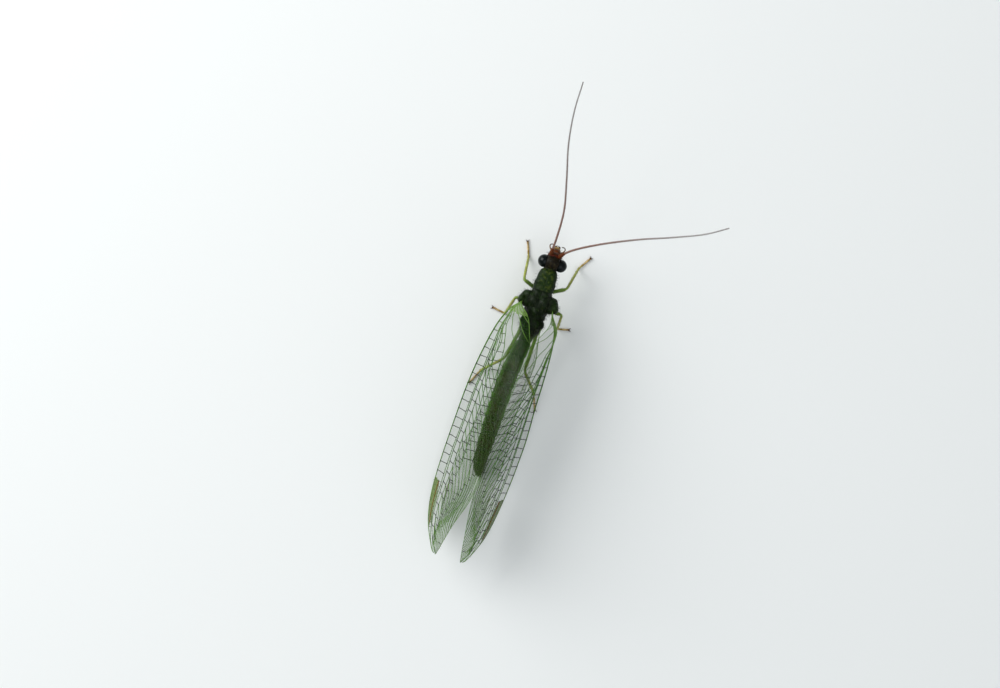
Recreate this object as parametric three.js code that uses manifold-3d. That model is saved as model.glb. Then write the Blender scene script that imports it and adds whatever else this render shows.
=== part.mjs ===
// A green lacewing at rest, life size, in millimetres. It stands on its six feet and the tip of its
// abdomen, with its four wings folded over the body like a steep roof and its antennae raised.
// +Z is up, the head looks along -Y, and the animal's left side is +X.
import * as THREE from "three";
import { mergeVertices } from "three/addons/utils/BufferGeometryUtils.js";
import Module from "manifold-3d";

const wasm = await Module();
wasm.setup();

// Clearances and thicknesses
const GAP = 0.3; // between neighbouring pieces of the body
const EYE_GAP = 0.18; // between an eye and the head, which is only 1.4 wide
const WING_THICK = 0.44;
const HIND_THICK = 0.36;
const VEIN_HEIGHT = 0.1; // how far a vein stands out of the membrane
const LEG_R = 0.25;
const FEELER_R = 0.24;

// The body's cuts, as places along it
const HEAD_BACK = -1.62;
const PROTHORAX_BACK = -0.62;
const MESOTHORAX_BACK = 0.78;
const METATHORAX_BACK = 1.7;
const ABDOMEN_END = 8.86;
const THORAX_X = -0.22; // the head and thorax stand a little to the right of the wings' middle

// Colours
const finish = (color, roughness) => new THREE.MeshStandardMaterial({ color, roughness, metalness: 0 });
const LEAF_GREEN = finish(0x4f7d1e, 0.5);
const DARK_GREEN = finish(0x2c4a14, 0.5);
const FACE_AMBER = finish(0x7a4a1a, 0.45);
const EYE_BLACK = finish(0x0c0f0c, 0.2);
const FEELER_BROWN = finish(0x8a6a58, 0.6);
const LEG_GREEN = finish(0x9aae3c, 0.5);
const FOOT_AMBER = finish(0xa8772e, 0.55);
const WING_GLASS = finish(0xbfcdb4, 0.3);

// Numbers and curves
const v3 = (x, y, z) => new THREE.Vector3(x, y, z);
const clamp01 = (x) => Math.min(1, Math.max(0, x));
const halfway = (a, b) => a.clone().lerp(b, 0.5);
const curveOf = (points) => new THREE.CatmullRomCurve3(points, false, "centripetal");
const quarterCircle = (x) => Math.sqrt(Math.max(0, 1 - x * x)); // from 1 down to 0

function evenly(from, to, count) {
  return Array.from({ length: count }, (_, i) => from + ((to - from) * i) / (count - 1));
}

// A smooth function through rows of [station, value, value, ...]; it returns the values at a station.
function through(rows) {
  const knots = rows.map((row) => v3(row[1], row[2] ?? 0, row[3] ?? 0));
  const slope = (k) => {
    const [before, after] = [Math.max(0, k - 1), Math.min(rows.length - 1, k + 1)];
    return knots[after].clone().sub(knots[before]).divideScalar(rows[after][0] - rows[before][0]);
  };
  return (station) => {
    let i = 0;
    while (i < rows.length - 2 && station > rows[i + 1][0]) i += 1;
    const span = rows[i + 1][0] - rows[i][0];
    const t = (station - rows[i][0]) / span;
    const [t2, t3] = [t * t, t * t * t];
    return v3(0, 0, 0)
      .addScaledVector(knots[i], 2 * t3 - 3 * t2 + 1)
      .addScaledVector(slope(i), (t3 - 2 * t2 + t) * span)
      .addScaledVector(knots[i + 1], -2 * t3 + 3 * t2)
      .addScaledVector(slope(i + 1), (t3 - t2) * span);
  };
}

// A closed solid from a three.js geometry, its seams merged and its faces turned outwards.
function solid(geometry) {
  const bare = new THREE.BufferGeometry().setAttribute("position", geometry.getAttribute("position"));
  if (geometry.index) bare.setIndex(geometry.index);
  const merged = mergeVertices(bare, 1e-4);
  const corners = merged.index.array;
  const kept = [];
  for (let i = 0; i < corners.length; i += 3) {
    const [a, b, c] = [corners[i], corners[i + 1], corners[i + 2]];
    if (a !== b && b !== c && c !== a) kept.push(a, b, c);
  }
  const vertProperties = merged.getAttribute("position").array;
  const make = (triVerts) => new wasm.Manifold(new wasm.Mesh({ numProp: 3, vertProperties, triVerts }));
  const made = make(new Uint32Array(kept));
  return made.volume() > 0 ? made : make(new Uint32Array(kept.reverse()));
}

// The largest closed surface of a solid, as a geometry.
function geometryOf(made) {
  const largest = made.decompose().reduce((a, b) => (a.volume() > b.volume() ? a : b));
  const mesh = largest.getMesh();
  const places = new Float32Array(mesh.numVert * 3);
  for (let i = 0; i < mesh.numVert; i += 1)
    places.set(mesh.vertProperties.subarray(i * mesh.numProp, i * mesh.numProp + 3), i * 3);
  return new THREE.BufferGeometry()
    .setAttribute("position", new THREE.BufferAttribute(places, 3))
    .setIndex(new THREE.BufferAttribute(new Uint32Array(mesh.triVerts), 1));
}

// Solids
const FAR = 20; // further than anything reaches
const fuse = (...pieces) => pieces.reduce((a, b) => a.add(b));

function block(low, high) {
  const size = high.clone().sub(low);
  const middle = halfway(low, high);
  return solid(new THREE.BoxGeometry(size.x, size.y, size.z).translate(middle.x, middle.y, middle.z));
}

const between = (made, front, back) => made.intersect(block(v3(-FAR, front, -FAR), v3(FAR, back, FAR)));
const aboveFloor = (made) => made.intersect(block(v3(-FAR, -FAR, 0), v3(FAR, FAR, FAR)));
const beyond = (side, x) => block(v3(side > 0 ? x : -FAR, -FAR, -FAR), v3(side > 0 ? FAR : x, FAR, FAR));

// An ellipsoid at a place, with its three radii.
function bead(place, radii, around = 12, up = 8) {
  const ball = new THREE.SphereGeometry(1, around, up).scale(radii.x, radii.y, radii.z);
  return solid(ball.translate(place.x, place.y, place.z));
}

// A closed solid from corner numbers, three to a face, over a flat list of coordinates.
function solidOf(places, faces) {
  const skin = new THREE.BufferGeometry();
  skin.setAttribute("position", new THREE.Float32BufferAttribute(places, 3));
  return solid(skin.setIndex(faces));
}

// A skin over rings of points, closed at both ends on the rings' middles.
function loft(rings) {
  const around = rings[0].length;
  const last = (rings.length - 1) * around;
  const places = rings.flat().flatMap((p) => [p.x, p.y, p.z]);
  const faces = [];
  for (let start = 0; start < last; start += around)
    for (let j = 0; j < around; j += 1) {
      const [a, b] = [start + j, start + ((j + 1) % around)];
      faces.push(a, b, a + around, b, b + around, a + around);
    }
  for (const start of [0, last]) {
    const ring = rings[start / around];
    const middle = ring.reduce((sum, p) => sum.add(p), v3(0, 0, 0)).divideScalar(around);
    const hub = places.length / 3;
    places.push(middle.x, middle.y, middle.z);
    for (let j = 0; j < around; j += 1) {
      const [a, b] = [start + j, start + ((j + 1) % around)];
      if (start === 0) faces.push(hub, b, a);
      else faces.push(hub, a, b);
    }
  }
  return solidOf(places, faces);
}

// A round limb along a smooth path, its radius a function of the share of its length.
function limb(points, radius, sides = 8, steps = 8) {
  const path = curveOf(points);
  const frames = path.computeFrenetFrames(steps, false);
  const ringAt = (i) => {
    const [place, reach] = [path.getPointAt(i / steps), radius(i / steps)];
    return Array.from({ length: sides }, (_, j) => {
      const turn = (2 * Math.PI * j) / sides;
      return place
        .clone()
        .addScaledVector(frames.normals[i], reach * Math.cos(turn))
        .addScaledVector(frames.binormals[i], reach * Math.sin(turn));
    });
  };
  return loft(Array.from({ length: steps + 1 }, (_, i) => ringAt(i)));
}

// A radius for a limb that rounds off towards both ends, over a share of its length.
const roundEnds = (radius, share = 0.12, least = 0.5) => (t) => {
  const near = 1 - clamp01(Math.min(t, 1 - t) / share);
  return radius * (least + (1 - least) * quarterCircle(near));
};

// A length of the body with rounded sections. Rows are [y, x, z, half width, half height].
function trunk(rows, stations, around = 18, squareness = 2.4, swell = () => 1) {
  const middle = through(rows.map(([y, x, z]) => [y, x, z]));
  const half = through(rows.map(([y, , , width, height]) => [y, width, height]));
  const bend = (value) => Math.sign(value) * Math.abs(value) ** (2 / squareness);
  return loft(
    stations.map((y) => {
      const [place, size] = [middle(y), half(y).multiplyScalar(swell(y))];
      return Array.from({ length: around }, (_, j) => {
        const turn = (2 * Math.PI * (j + 0.5)) / around;
        return v3(place.x + size.x * bend(Math.cos(turn)), y, place.y + size.y * bend(Math.sin(turn)));
      });
    }),
  );
}

// The scene: a group for each region, placed where that region joins the body
const lacewing = new THREE.Group();
function region(place) {
  const made = new THREE.Group();
  made.position.copy(place);
  lacewing.add(made);
  return made;
}

// A named piece of a region, modelled in the animal's frame and then hung from its own root.
function piece(parent, name, made, material, root) {
  const mesh = new THREE.Mesh(geometryOf(made).translate(-root.x, -root.y, -root.z), material);
  mesh.name = name;
  mesh.position.copy(root).sub(parent.position);
  parent.add(mesh);
}

const SIDES = { left: 1, right: -1 };

// Head: a narrow skull between large eyes, a face that slopes forward and down to the jaws, and palps
const HEAD = v3(-0.24, -1.95, 2.22);
const SKULL_CORE = 0.2; // half the width that is left between the eyes
const EYE_R = 0.31;
const EYE = v3(0.4, 0.03, -0.02); // from the head's middle to the left eye's
const MOUTH = v3(-0.24, -2.68, 1.66);
const SOCKET = v3(0.22, -0.37, 0.14); // from the head's middle to the left antenna's root
const PALP_ROUTE = [
  [0.04, 0.12, 0.08],
  [0.2, -0.06, -0.04],
  [0.34, 0.0, -0.1],
  [0.34, 0.24, -0.14],
];
const onHead = (side, offset) => v3(HEAD.x + side * offset.x, HEAD.y + offset.y, HEAD.z + offset.z);

function skull() {
  const brow = HEAD.clone().add(v3(0, -0.15, -0.05));
  const cheek = HEAD.clone().add(v3(0, -0.42, -0.24));
  const face = limb([brow, cheek, MOUTH], (t) => 0.36 - 0.22 * t ** 1.4, 12, 6);
  const lip = bead(MOUTH.clone().add(v3(0, -0.05, 0.04)), v3(0.16, 0.08, 0.1));
  let made = fuse(bead(HEAD, v3(0.42, 0.44, 0.46), 18, 10), face, lip);
  for (const side of Object.values(SIDES)) {
    const route = PALP_ROUTE.map(([x, y, z]) => MOUTH.clone().add(v3(side * x, y, z)));
    const jaw = bead(MOUTH.clone().add(v3(side * 0.07, -0.02, -0.08)), v3(0.08, 0.08, 0.1), 8, 6);
    const socket = bead(onHead(side, SOCKET), v3(0.13, 0.07, 0.1), 10, 6);
    made = fuse(made, limb(route, (t) => 0.11 - 0.03 * t, 6, 6), jaw, socket);
  }
  for (const side of Object.values(SIDES)) {
    const room = EYE_R + EYE_GAP + 0.03;
    const hollow = bead(onHead(side, EYE), v3(room, room, room), 18, 10);
    made = made.subtract(hollow.intersect(beyond(side, HEAD.x + side * SKULL_CORE)));
  }
  return between(made, -FAR, HEAD_BACK);
}

const head = region(HEAD);
piece(head, "head", skull(), FACE_AMBER, HEAD);
for (const [name, side] of Object.entries(SIDES)) {
  const ball = bead(onHead(side, EYE), v3(EYE_R, EYE_R, EYE_R), 20, 12);
  const eye = ball.intersect(beyond(side, HEAD.x + side * (SKULL_CORE + EYE_GAP)));
  piece(head, `eye_${name}`, eye, EYE_BLACK, onHead(side, EYE));
}

// Antennae: a short scape, then a long flagellum in two lengths that rises ahead of the head
const FEELER_ROUTES = {
  left: [
    [-0.03, -2.54, 2.6],
    [-0.04, -3.1, 3.0],
    [0.04, -4.4, 3.65],
    [0.42, -5.9, 4.4],
    [0.85, -7.4, 5.2],
    [1.09, -8.9, 6.0],
    [1.14, -10.35, 6.75],
  ],
  right: [
    [-0.6, -2.5, 2.6],
    [-1.04, -2.86, 2.95],
    [-2.14, -3.5, 3.55],
    [-3.7, -4.24, 4.3],
    [-5.2, -4.84, 5.1],
    [-6.6, -5.46, 5.95],
    [-7.55, -6.08, 6.6],
  ],
};
const SCAPE_END = 0.055; // as shares of the whole antenna
const FLAGELLUM_SPLIT = 0.5;
const FEELER_SWELL = through([
  [0, 0.62],
  [0.12, 1],
  [0.6, 1],
  [1, 0.42],
]); // its radius as a share of FEELER_R

for (const [name, route] of Object.entries(FEELER_ROUTES)) {
  const path = curveOf(route.map((place) => v3(...place)));
  const gap = GAP / path.getLength();
  const lengths = {
    scape: [0, SCAPE_END, 3],
    flagellum_near: [SCAPE_END + gap, FLAGELLUM_SPLIT, 11],
    flagellum_far: [FLAGELLUM_SPLIT + gap, 1, 11],
  };
  for (const [part, [from, to, steps]] of Object.entries(lengths)) {
    const stretch = evenly(from, to, 7).map((share) => path.getPointAt(share));
    const radius = (t) => FEELER_R * FEELER_SWELL(from + (to - from) * t).x;
    piece(head, `antenna_${name}_${part}`, limb(stretch, radius, 8, steps), FEELER_BROWN, stretch[0]);
  }
}

// Thorax: three lengths parted by plane cuts, with the humps that carry the wing muscles
const PROTHORAX_ROWS = [
  [-1.4, THORAX_X, 2.24, 0.4, 0.36],
  [-1.0, THORAX_X, 2.22, 0.5, 0.41],
  [-0.6, THORAX_X, 2.2, 0.53, 0.42],
];
const MESOTHORAX_ROWS = [
  [-0.5, THORAX_X, 2.18, 0.5, 0.5],
  [0.0, THORAX_X, 2.15, 0.52, 0.6],
  [0.5, THORAX_X, 2.12, 0.48, 0.6],
  [0.9, THORAX_X, 2.12, 0.46, 0.58],
];
const METATHORAX_ROWS = [
  [0.9, THORAX_X, 2.12, 0.46, 0.56],
  [1.3, THORAX_X, 2.08, 0.46, 0.54],
  [1.8, THORAX_X + 0.03, 1.98, 0.38, 0.46],
];

function mesothorax() {
  let made = trunk(MESOTHORAX_ROWS, evenly(-0.5, 0.9, 6));
  for (const side of Object.values(SIDES)) {
    const shoulder = bead(v3(THORAX_X + side * 0.6, -0.16, 2.3), v3(0.35, 0.26, 0.42));
    const hump = bead(v3(THORAX_X + side * 0.24, 0.08, 2.52), v3(0.32, 0.42, 0.4));
    made = fuse(made, shoulder, hump);
  }
  const scutellum = bead(v3(THORAX_X, 0.58, 2.56), v3(0.24, 0.26, 0.3));
  return between(made.add(scutellum), PROTHORAX_BACK + GAP, MESOTHORAX_BACK);
}

function metathorax() {
  let made = trunk(METATHORAX_ROWS, evenly(0.9, 1.8, 4));
  for (const side of Object.values(SIDES)) {
    const shoulder = bead(v3(THORAX_X + side * 0.4, 1.2, 2.38), v3(0.22, 0.24, 0.24), 10, 6);
    const hump = bead(v3(THORAX_X + side * 0.18, 1.24, 2.42), v3(0.24, 0.3, 0.32), 10, 6);
    made = fuse(made, shoulder, hump);
  }
  return between(made, MESOTHORAX_BACK + GAP, METATHORAX_BACK);
}

const thorax = region(v3(THORAX_X, 0, 2.15));
const rootAt = (y, z) => v3(THORAX_X, y, z);
const prothorax = trunk(PROTHORAX_ROWS, evenly(HEAD_BACK + GAP, PROTHORAX_BACK, 5));
piece(thorax, "prothorax", prothorax, LEAF_GREEN, rootAt(HEAD_BACK + GAP, 2.24));
piece(thorax, "mesothorax", mesothorax(), DARK_GREEN, rootAt(PROTHORAX_BACK + GAP, 2.18));
piece(thorax, "metathorax", metathorax(), DARK_GREEN, rootAt(MESOTHORAX_BACK + GAP, 2.12));

// Abdomen: eight rings that swell to their rear edges, drooping until the tip rests on the floor
const ABDOMEN_FRONT = METATHORAX_BACK + GAP;
const ABDOMEN_ROWS = [
  [1.9, -0.18, 1.9, 0.34, 0.42],
  [3.0, -0.03, 1.7, 0.42, 0.46],
  [4.4, 0.06, 1.45, 0.44, 0.47],
  [5.9, 0.05, 1.18, 0.43, 0.46],
  [7.2, 0.0, 0.84, 0.37, 0.42],
  [8.2, -0.1, 0.5, 0.31, 0.38],
  [8.62, -0.2, 0.32, 0.22, 0.34],
  [ABDOMEN_END, -0.25, 0.26, 0.07, 0.12],
];
const RINGS = 8;
const RING_SWELL = 0.08; // how much wider a ring is at its rear edge than at its front
const TAIL_LENGTH = 0.5; // the plain tip behind the rings
const RING_LENGTH = (ABDOMEN_END - TAIL_LENGTH - ABDOMEN_FRONT) / RINGS;

function abdomen() {
  const stations = [];
  for (let ring = 0; ring < RINGS; ring += 1)
    for (const share of [0.02, 0.5, 0.94]) stations.push(ABDOMEN_FRONT + RING_LENGTH * (ring + share));
  stations[0] = ABDOMEN_FRONT;
  for (const short of [0.46, 0.25, 0.1, 0]) stations.push(ABDOMEN_END - short);
  const swell = (y) => {
    const ring = (y - ABDOMEN_FRONT) / RING_LENGTH;
    return ring > RINGS ? 1 : 1 + RING_SWELL * (ring - Math.floor(ring) - 0.5);
  };
  return aboveFloor(trunk(ABDOMEN_ROWS, stations, 16, 2.15, swell));
}
const abdomenRoot = v3(ABDOMEN_ROWS[0][1], ABDOMEN_FRONT, ABDOMEN_ROWS[0][2]);
piece(region(abdomenRoot), "abdomen", abdomen(), LEAF_GREEN, abdomenRoot);

// Wings: one steep roof carries the forewings, and the hindwings lie inside it. Rows are
// [y, distance from the middle line, height] for the lower, leading edge and for the ridge.
const WING_ROOT = 0.32;
const WING_TIP = 12.92;
const TIP_LENGTH = 3.3; // over which a forewing narrows to its tip
const ROOF_MIDDLE = through([
  [0, -0.22],
  [2.5, -0.1],
  [5, -0.02],
  [8, 0.03],
  [10.5, 0.06],
  [12.9, -0.03],
]);
const RIDGE_MIDDLE = through([
  [0.3, -0.3],
  [1.0, -0.5],
  [1.8, -0.48],
  [4, -0.34],
  [6.5, -0.22],
  [9.8, -0.16],
  [11.4, -0.06],
  [12.9, -0.03],
]);
const LEADING_EDGE = through([
  [0.32, 0.98, 2.24],
  [1.2, 1.2, 1.82],
  [2.4, 1.42, 1.46],
  [4.4, 1.58, 1.06],
  [6.5, 1.6, 0.76],
  [9.0, 1.56, 0.62],
  [11.0, 1.4, 0.74],
  [12.92, 1.1, 1.0],
]);
const RIDGE = through([
  [0.32, 0.88, 2.92],
  [0.75, 0.62, 3.3],
  [1.2, 0.4, 3.58],
  [1.8, 0.18, 3.88],
  [2.4, 0.06, 4.08],
  [4.4, 0.03, 4.34],
  [6.5, 0.02, 4.42],
  [9.0, 0.03, 4.22],
  [11.0, 0.12, 3.82],
  [12.92, 0.4, 3.1],
]);
const TIP = { x: 0.6, z: 1.8 };
const BOW = 0.17; // how far the roof bows outwards above its flared lower edge, as a share of its width
const BOW_PEAK = 4 / 27; // the most that share * share * (1 - share) comes to

// The middle of a forewing's thickness, at a place along it and a share of its width from the lower edge.
function roof(side, y, share) {
  const [low, high] = [LEADING_EDGE(y), RIDGE(y)];
  const open = quarterCircle(clamp01((y - (WING_TIP - TIP_LENGTH)) / TIP_LENGTH));
  const close = (value, end) => end + (value - end) * open;
  const foot = v3(ROOF_MIDDLE(y).x + side * close(low.x, TIP.x), y, close(low.y, TIP.z));
  const top = v3(RIDGE_MIDDLE(y).x + side * close(high.x, TIP.x), y, close(high.y, TIP.z));
  const width = foot.distanceTo(top);
  const out = v3((side * Math.abs(top.z - foot.z)) / width, 0, Math.abs(top.x - foot.x) / width);
  const bow = (BOW * width * share * share * (1 - share)) / BOW_PEAK;
  return foot.lerp(top, share).addScaledVector(out, bow);
}

function roofNormal(side, y, share) {
  const step = 1e-3;
  const inside = Math.min(1 - 5 * step, Math.max(5 * step, share));
  const along = roof(side, y + step, inside).sub(roof(side, y - step, inside));
  const across = roof(side, y, inside + step).sub(roof(side, y, inside - step));
  const normal = along.cross(across).normalize();
  return normal.x * side < 0 ? normal.negate() : normal;
}

// A closed sheet over a grid of stations and shares, split into triangles alike on both faces.
function sheet(stations, shares, middle, normal, half, raised) {
  const [m, n] = [stations.length, shares.length];
  const lifted = (y, t, lift) => middle(y, t).addScaledVector(normal(y, t), lift(y, t));
  const face = (lift) => stations.map((y) => shares.map((t) => lifted(y, t, lift)));
  const outer = face((y, t) => half(y) + raised(y, t));
  const inner = face((y) => -half(y));
  const places = [...outer, ...inner].flat().flatMap((p) => [p.x, p.y, p.z]);
  const at = (layer, i, j) => (layer * m + i) * n + j;
  const faces = [];
  const quad = (a, b, c, d) => faces.push(a, b, c, a, c, d);
  for (let i = 0; i < m - 1; i += 1) {
    for (let j = 0; j < n - 1; j += 1) {
      quad(at(0, i, j), at(0, i + 1, j), at(0, i + 1, j + 1), at(0, i, j + 1));
      faces.push(at(1, i, j), at(1, i + 1, j + 1), at(1, i + 1, j));
      faces.push(at(1, i, j), at(1, i, j + 1), at(1, i + 1, j + 1));
    }
    quad(at(1, i, 0), at(1, i + 1, 0), at(0, i + 1, 0), at(0, i, 0));
    quad(at(0, i, n - 1), at(0, i + 1, n - 1), at(1, i + 1, n - 1), at(1, i, n - 1));
  }
  for (let j = 0; j < n - 1; j += 1) {
    quad(at(0, 0, j), at(0, 0, j + 1), at(1, 0, j + 1), at(1, 0, j));
    quad(at(1, m - 1, j), at(1, m - 1, j + 1), at(0, m - 1, j + 1), at(0, m - 1, j));
  }
  return solidOf(places, faces);
}

// Grid lines with three at every vein, so that a vein's crest is a line of its own.
function withVeins(plain, veins, half) {
  const lines = [...plain, ...veins.flatMap((vein) => [vein - half, vein, vein + half])];
  return [...new Set(lines)].sort((a, b) => a - b);
}
const onVein = (value, veins) => veins.some((vein) => Math.abs(vein - value) < 1e-9);
const thinning = (y, from) => 1 - 0.45 * clamp01((y - from) / 1.4); // towards a wing's tip

const FORE_VEINS = [0.14, 0.32, 0.54, 0.77]; // radius, radial sector and the two long inner veins
const FORE_CROSS_VEINS = evenly(1.3, 10.9, 10);
const FORE_ROOT_STATIONS = [WING_ROOT, 0.6, 0.9];
const FORE_TIP_STATIONS = [11.6, 12.2, 12.6, 12.82];
const CROSS_VEIN_HALF = 0.09;

// The narrow gap along the ridge, where the two forewings meet: a thin wall that follows it
function ridgeGap() {
  const [half, low, high] = [GAP / 2, 2, 6];
  const corners = [
    [-half, low],
    [half, low],
    [half, high],
    [-half, high],
  ];
  const ring = (y) => corners.map(([x, z]) => v3(RIDGE_MIDDLE(y).x + x, y, z));
  return loft([WING_ROOT - 1, ...evenly(WING_ROOT, WING_TIP, 16), WING_TIP + 1].map(ring));
}

function forewing(side) {
  const plain = [...FORE_ROOT_STATIONS, ...FORE_TIP_STATIONS];
  const stations = withVeins(plain, FORE_CROSS_VEINS, CROSS_VEIN_HALF);
  const shares = withVeins([0, 1], FORE_VEINS, 0.024);
  const isVein = (y, t) => t === 0 || t === 1 || onVein(t, FORE_VEINS) || onVein(y, FORE_CROSS_VEINS);
  const made = sheet(
    stations,
    shares,
    (y, t) => roof(side, y, t),
    (y, t) => roofNormal(side, y, t),
    (y) => (WING_THICK / 2) * thinning(y, 11.4),
    (y, t) => (isVein(y, t) ? VEIN_HEIGHT : 0),
  );
  return made.subtract(ridgeGap());
}

const HIND_ROOT = METATHORAX_BACK + GAP;
const HIND_TIP = 11.9;
const HIND_TIP_LENGTH = 2.6;
const HIND_INSET = (WING_THICK + HIND_THICK) / 2 + GAP;
const HIND_LOW = through([
  [2, 0.46],
  [3.2, 0.45],
  [4.6, 0.4],
  [6.5, 0.24],
  [8, 0.07],
  [12, 0.12],
]); // its lower edge, as a share of the roof's width
const HIND_VEINS = [0.3, 0.62];
const HIND_CROSS_VEINS = evenly(3.2, 9.8, 5);

function hindwing(side) {
  const inset = (y, t) => roof(side, y, t).addScaledVector(roofNormal(side, y, t), -HIND_INSET);
  // the highest share of the roof's width that keeps clear of the other hindwing
  const highest = (y) => {
    let [low, high] = [0.3, 0.95];
    for (let halving = 0; halving < 20; halving += 1) {
      const t = (low + high) / 2;
      if (side * (inset(y, t).x - RIDGE_MIDDLE(y).x) > (GAP + HIND_THICK) / 2) low = t;
      else high = t;
    }
    return low;
  };
  const shareOf = (y, t) => {
    const [low, high] = [HIND_LOW(y).x, highest(y)];
    const middle = low + (high - low) * 0.45;
    const rooting = 0.35 + 0.65 * clamp01((y - HIND_ROOT) / 1.2);
    const open = rooting * quarterCircle(clamp01((y - (HIND_TIP - HIND_TIP_LENGTH)) / HIND_TIP_LENGTH));
    return middle + (low + (high - low) * t - middle) * open;
  };
  return sheet(
    withVeins([HIND_ROOT, 2.4, 2.8, 10.6, 11.2, 11.6, 11.8], HIND_CROSS_VEINS, CROSS_VEIN_HALF),
    withVeins([0, 1], HIND_VEINS, 0.04),
    (y, t) => inset(y, shareOf(y, t)),
    (y, t) => roofNormal(side, y, shareOf(y, t)),
    (y) => (HIND_THICK / 2) * thinning(y, 10.8),
    (y, t) => (onVein(t, HIND_VEINS) || onVein(y, HIND_CROSS_VEINS) ? VEIN_HEIGHT / 3 : 0),
  );
}

const wings = region(v3(ROOF_MIDDLE(WING_ROOT).x, WING_ROOT, 2.6));
for (const [name, side] of Object.entries(SIDES)) {
  piece(wings, `forewing_${name}`, forewing(side), WING_GLASS, roof(side, WING_ROOT, 0.5));
  piece(wings, `hindwing_${name}`, hindwing(side), WING_GLASS, roof(side, HIND_ROOT, 0.5));
}

// Legs: a coxa fused to its femur, a tibia, and a tarsus with its claws lying flat on the floor
const LEGS = {
  fore_left: {
    hip: [0.14, -1.0, 1.4],
    bend: [0.18, -0.57, 1.02],
    knee: [0.8, -0.78, 1.6],
    ankle: [0.91, -1.85],
    toe: [1.2, -2.6],
  },
  fore_right: {
    hip: [-0.58, -1.0, 1.4],
    bend: [-0.62, -0.6, 1.02],
    knee: [-1.29, -0.99, 1.6],
    ankle: [-1.51, -2.1],
    toe: [-1.92, -2.8],
  },
  mid_left: {
    hip: [0.15, 0.2, 1.22],
    bend: [0.2, 0.25, 0.92],
    knee: [0.9, 0.13, 1.6],
    ankle: [1.12, 1.0],
    toe: [1.85, 0.98],
  },
  mid_right: {
    hip: [-0.59, 0.2, 1.22],
    bend: [-0.64, 0.25, 0.92],
    knee: [-1.44, 0.24, 1.6],
    ankle: [-1.47, 1.0],
    toe: [-2.12, 0.84],
  },
  hind_left: {
    hip: [0.15, 1.36, 1.22],
    bend: [0.18, 1.5, 0.92],
    knee: [0.47, 3.07, 0.92],
    ankle: [1.36, 3.98],
    toe: [1.68, 4.8],
  },
  hind_right: {
    hip: [-0.59, 1.36, 1.22],
    bend: [-0.62, 1.5, 0.92],
    knee: [-0.63, 3.36, 0.92],
    ankle: [-1.38, 4.25],
    toe: [-1.7, 5.06],
  },
};
const SOLE = 0.21; // height of a tarsus's middle line, less than its radius, so that its sole is flat
const ANKLE_Z = 0.54;
const HEEL_AHEAD = 0.42; // from under the ankle to the start of the tarsus
const TARSUS_JOINTS = 5;
const CLAW_SPREAD = 0.1;

function tarsus(ankle, toe) {
  const ahead = toe.clone().sub(ankle).normalize();
  const heel = ankle.clone().addScaledVector(ahead, HEEL_AHEAD);
  const radius = (t) => (LEG_R - 0.07 * t) * (0.86 + 0.14 * Math.abs(Math.sin(Math.PI * TARSUS_JOINTS * t)));
  let made = limb([heel, halfway(heel, toe), toe], radius, 8, 2 * TARSUS_JOINTS);
  for (const side of Object.values(SIDES)) {
    const across = v3(-ahead.y, ahead.x, 0).multiplyScalar(CLAW_SPREAD * side);
    const root = toe.clone().addScaledVector(ahead, -0.08).add(across);
    const tip = toe.clone().addScaledVector(ahead, 0.12).addScaledVector(across, 1.4).setZ(0.1);
    made = made.add(limb([root, halfway(root, tip), tip], (t) => 0.09 - 0.05 * t, 5, 2));
  }
  return aboveFloor(made);
}

for (const [name, leg] of Object.entries(LEGS)) {
  const [hip, bend, knee] = [v3(...leg.hip), v3(...leg.bend), v3(...leg.knee)];
  const ankle = v3(...leg.ankle, ANKLE_Z);
  const down = ankle.clone().sub(knee).normalize();
  const folded = Math.max(0, down.dot(bend.clone().sub(knee).normalize()));
  const shin = knee.clone().addScaledVector(down, LEG_R * (1 + folded) + GAP);
  const foot = v3(...leg.ankle, SOLE);
  const group = region(hip);
  const coxa = limb([hip, halfway(hip, bend), bend], () => LEG_R - 0.01, 8, 2);
  const thigh = limb([bend, halfway(bend, knee), knee], roundEnds(LEG_R, 0.16), 8, 6);
  const elbow = bead(bend, v3(LEG_R, LEG_R, LEG_R), 10, 6);
  const tibia = limb([shin, halfway(shin, ankle), ankle], roundEnds(LEG_R, 0.12, 0.7), 8, 6);
  piece(group, `leg_${name}_femur`, fuse(coxa, thigh, elbow), LEG_GREEN, hip);
  piece(group, `leg_${name}_tibia`, tibia, LEG_GREEN, knee);
  piece(group, `leg_${name}_tarsus`, tarsus(foot, v3(...leg.toe, SOLE)), FOOT_AMBER, foot);
}

// The origin is on the floor, under the middle of the whole animal's box.
const box = new THREE.Box3().setFromObject(lacewing);
lacewing.position.set(-(box.min.x + box.max.x) / 2, -(box.min.y + box.max.y) / 2, -box.min.z);

export default lacewing;
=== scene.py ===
"""A green lacewing at rest, life size, as a museum model on a pale floor.

Shapes are modelled in the animal's own millimetres: its head looks along -Y, its left side is +X,
+Z is up and the floor is at 0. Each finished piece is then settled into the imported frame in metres.
"""

from __future__ import annotations

import logging
import math
import random
from collections.abc import Callable, Iterable, Sequence
from dataclasses import dataclass, field
from enum import Enum

import bpy
import numpy as np
from bpy.types import ID, Material, Node, NodeSocket, NodeTree, Object
from mathutils import Matrix, Vector, noise
from mathutils.kdtree import KDTree

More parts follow.
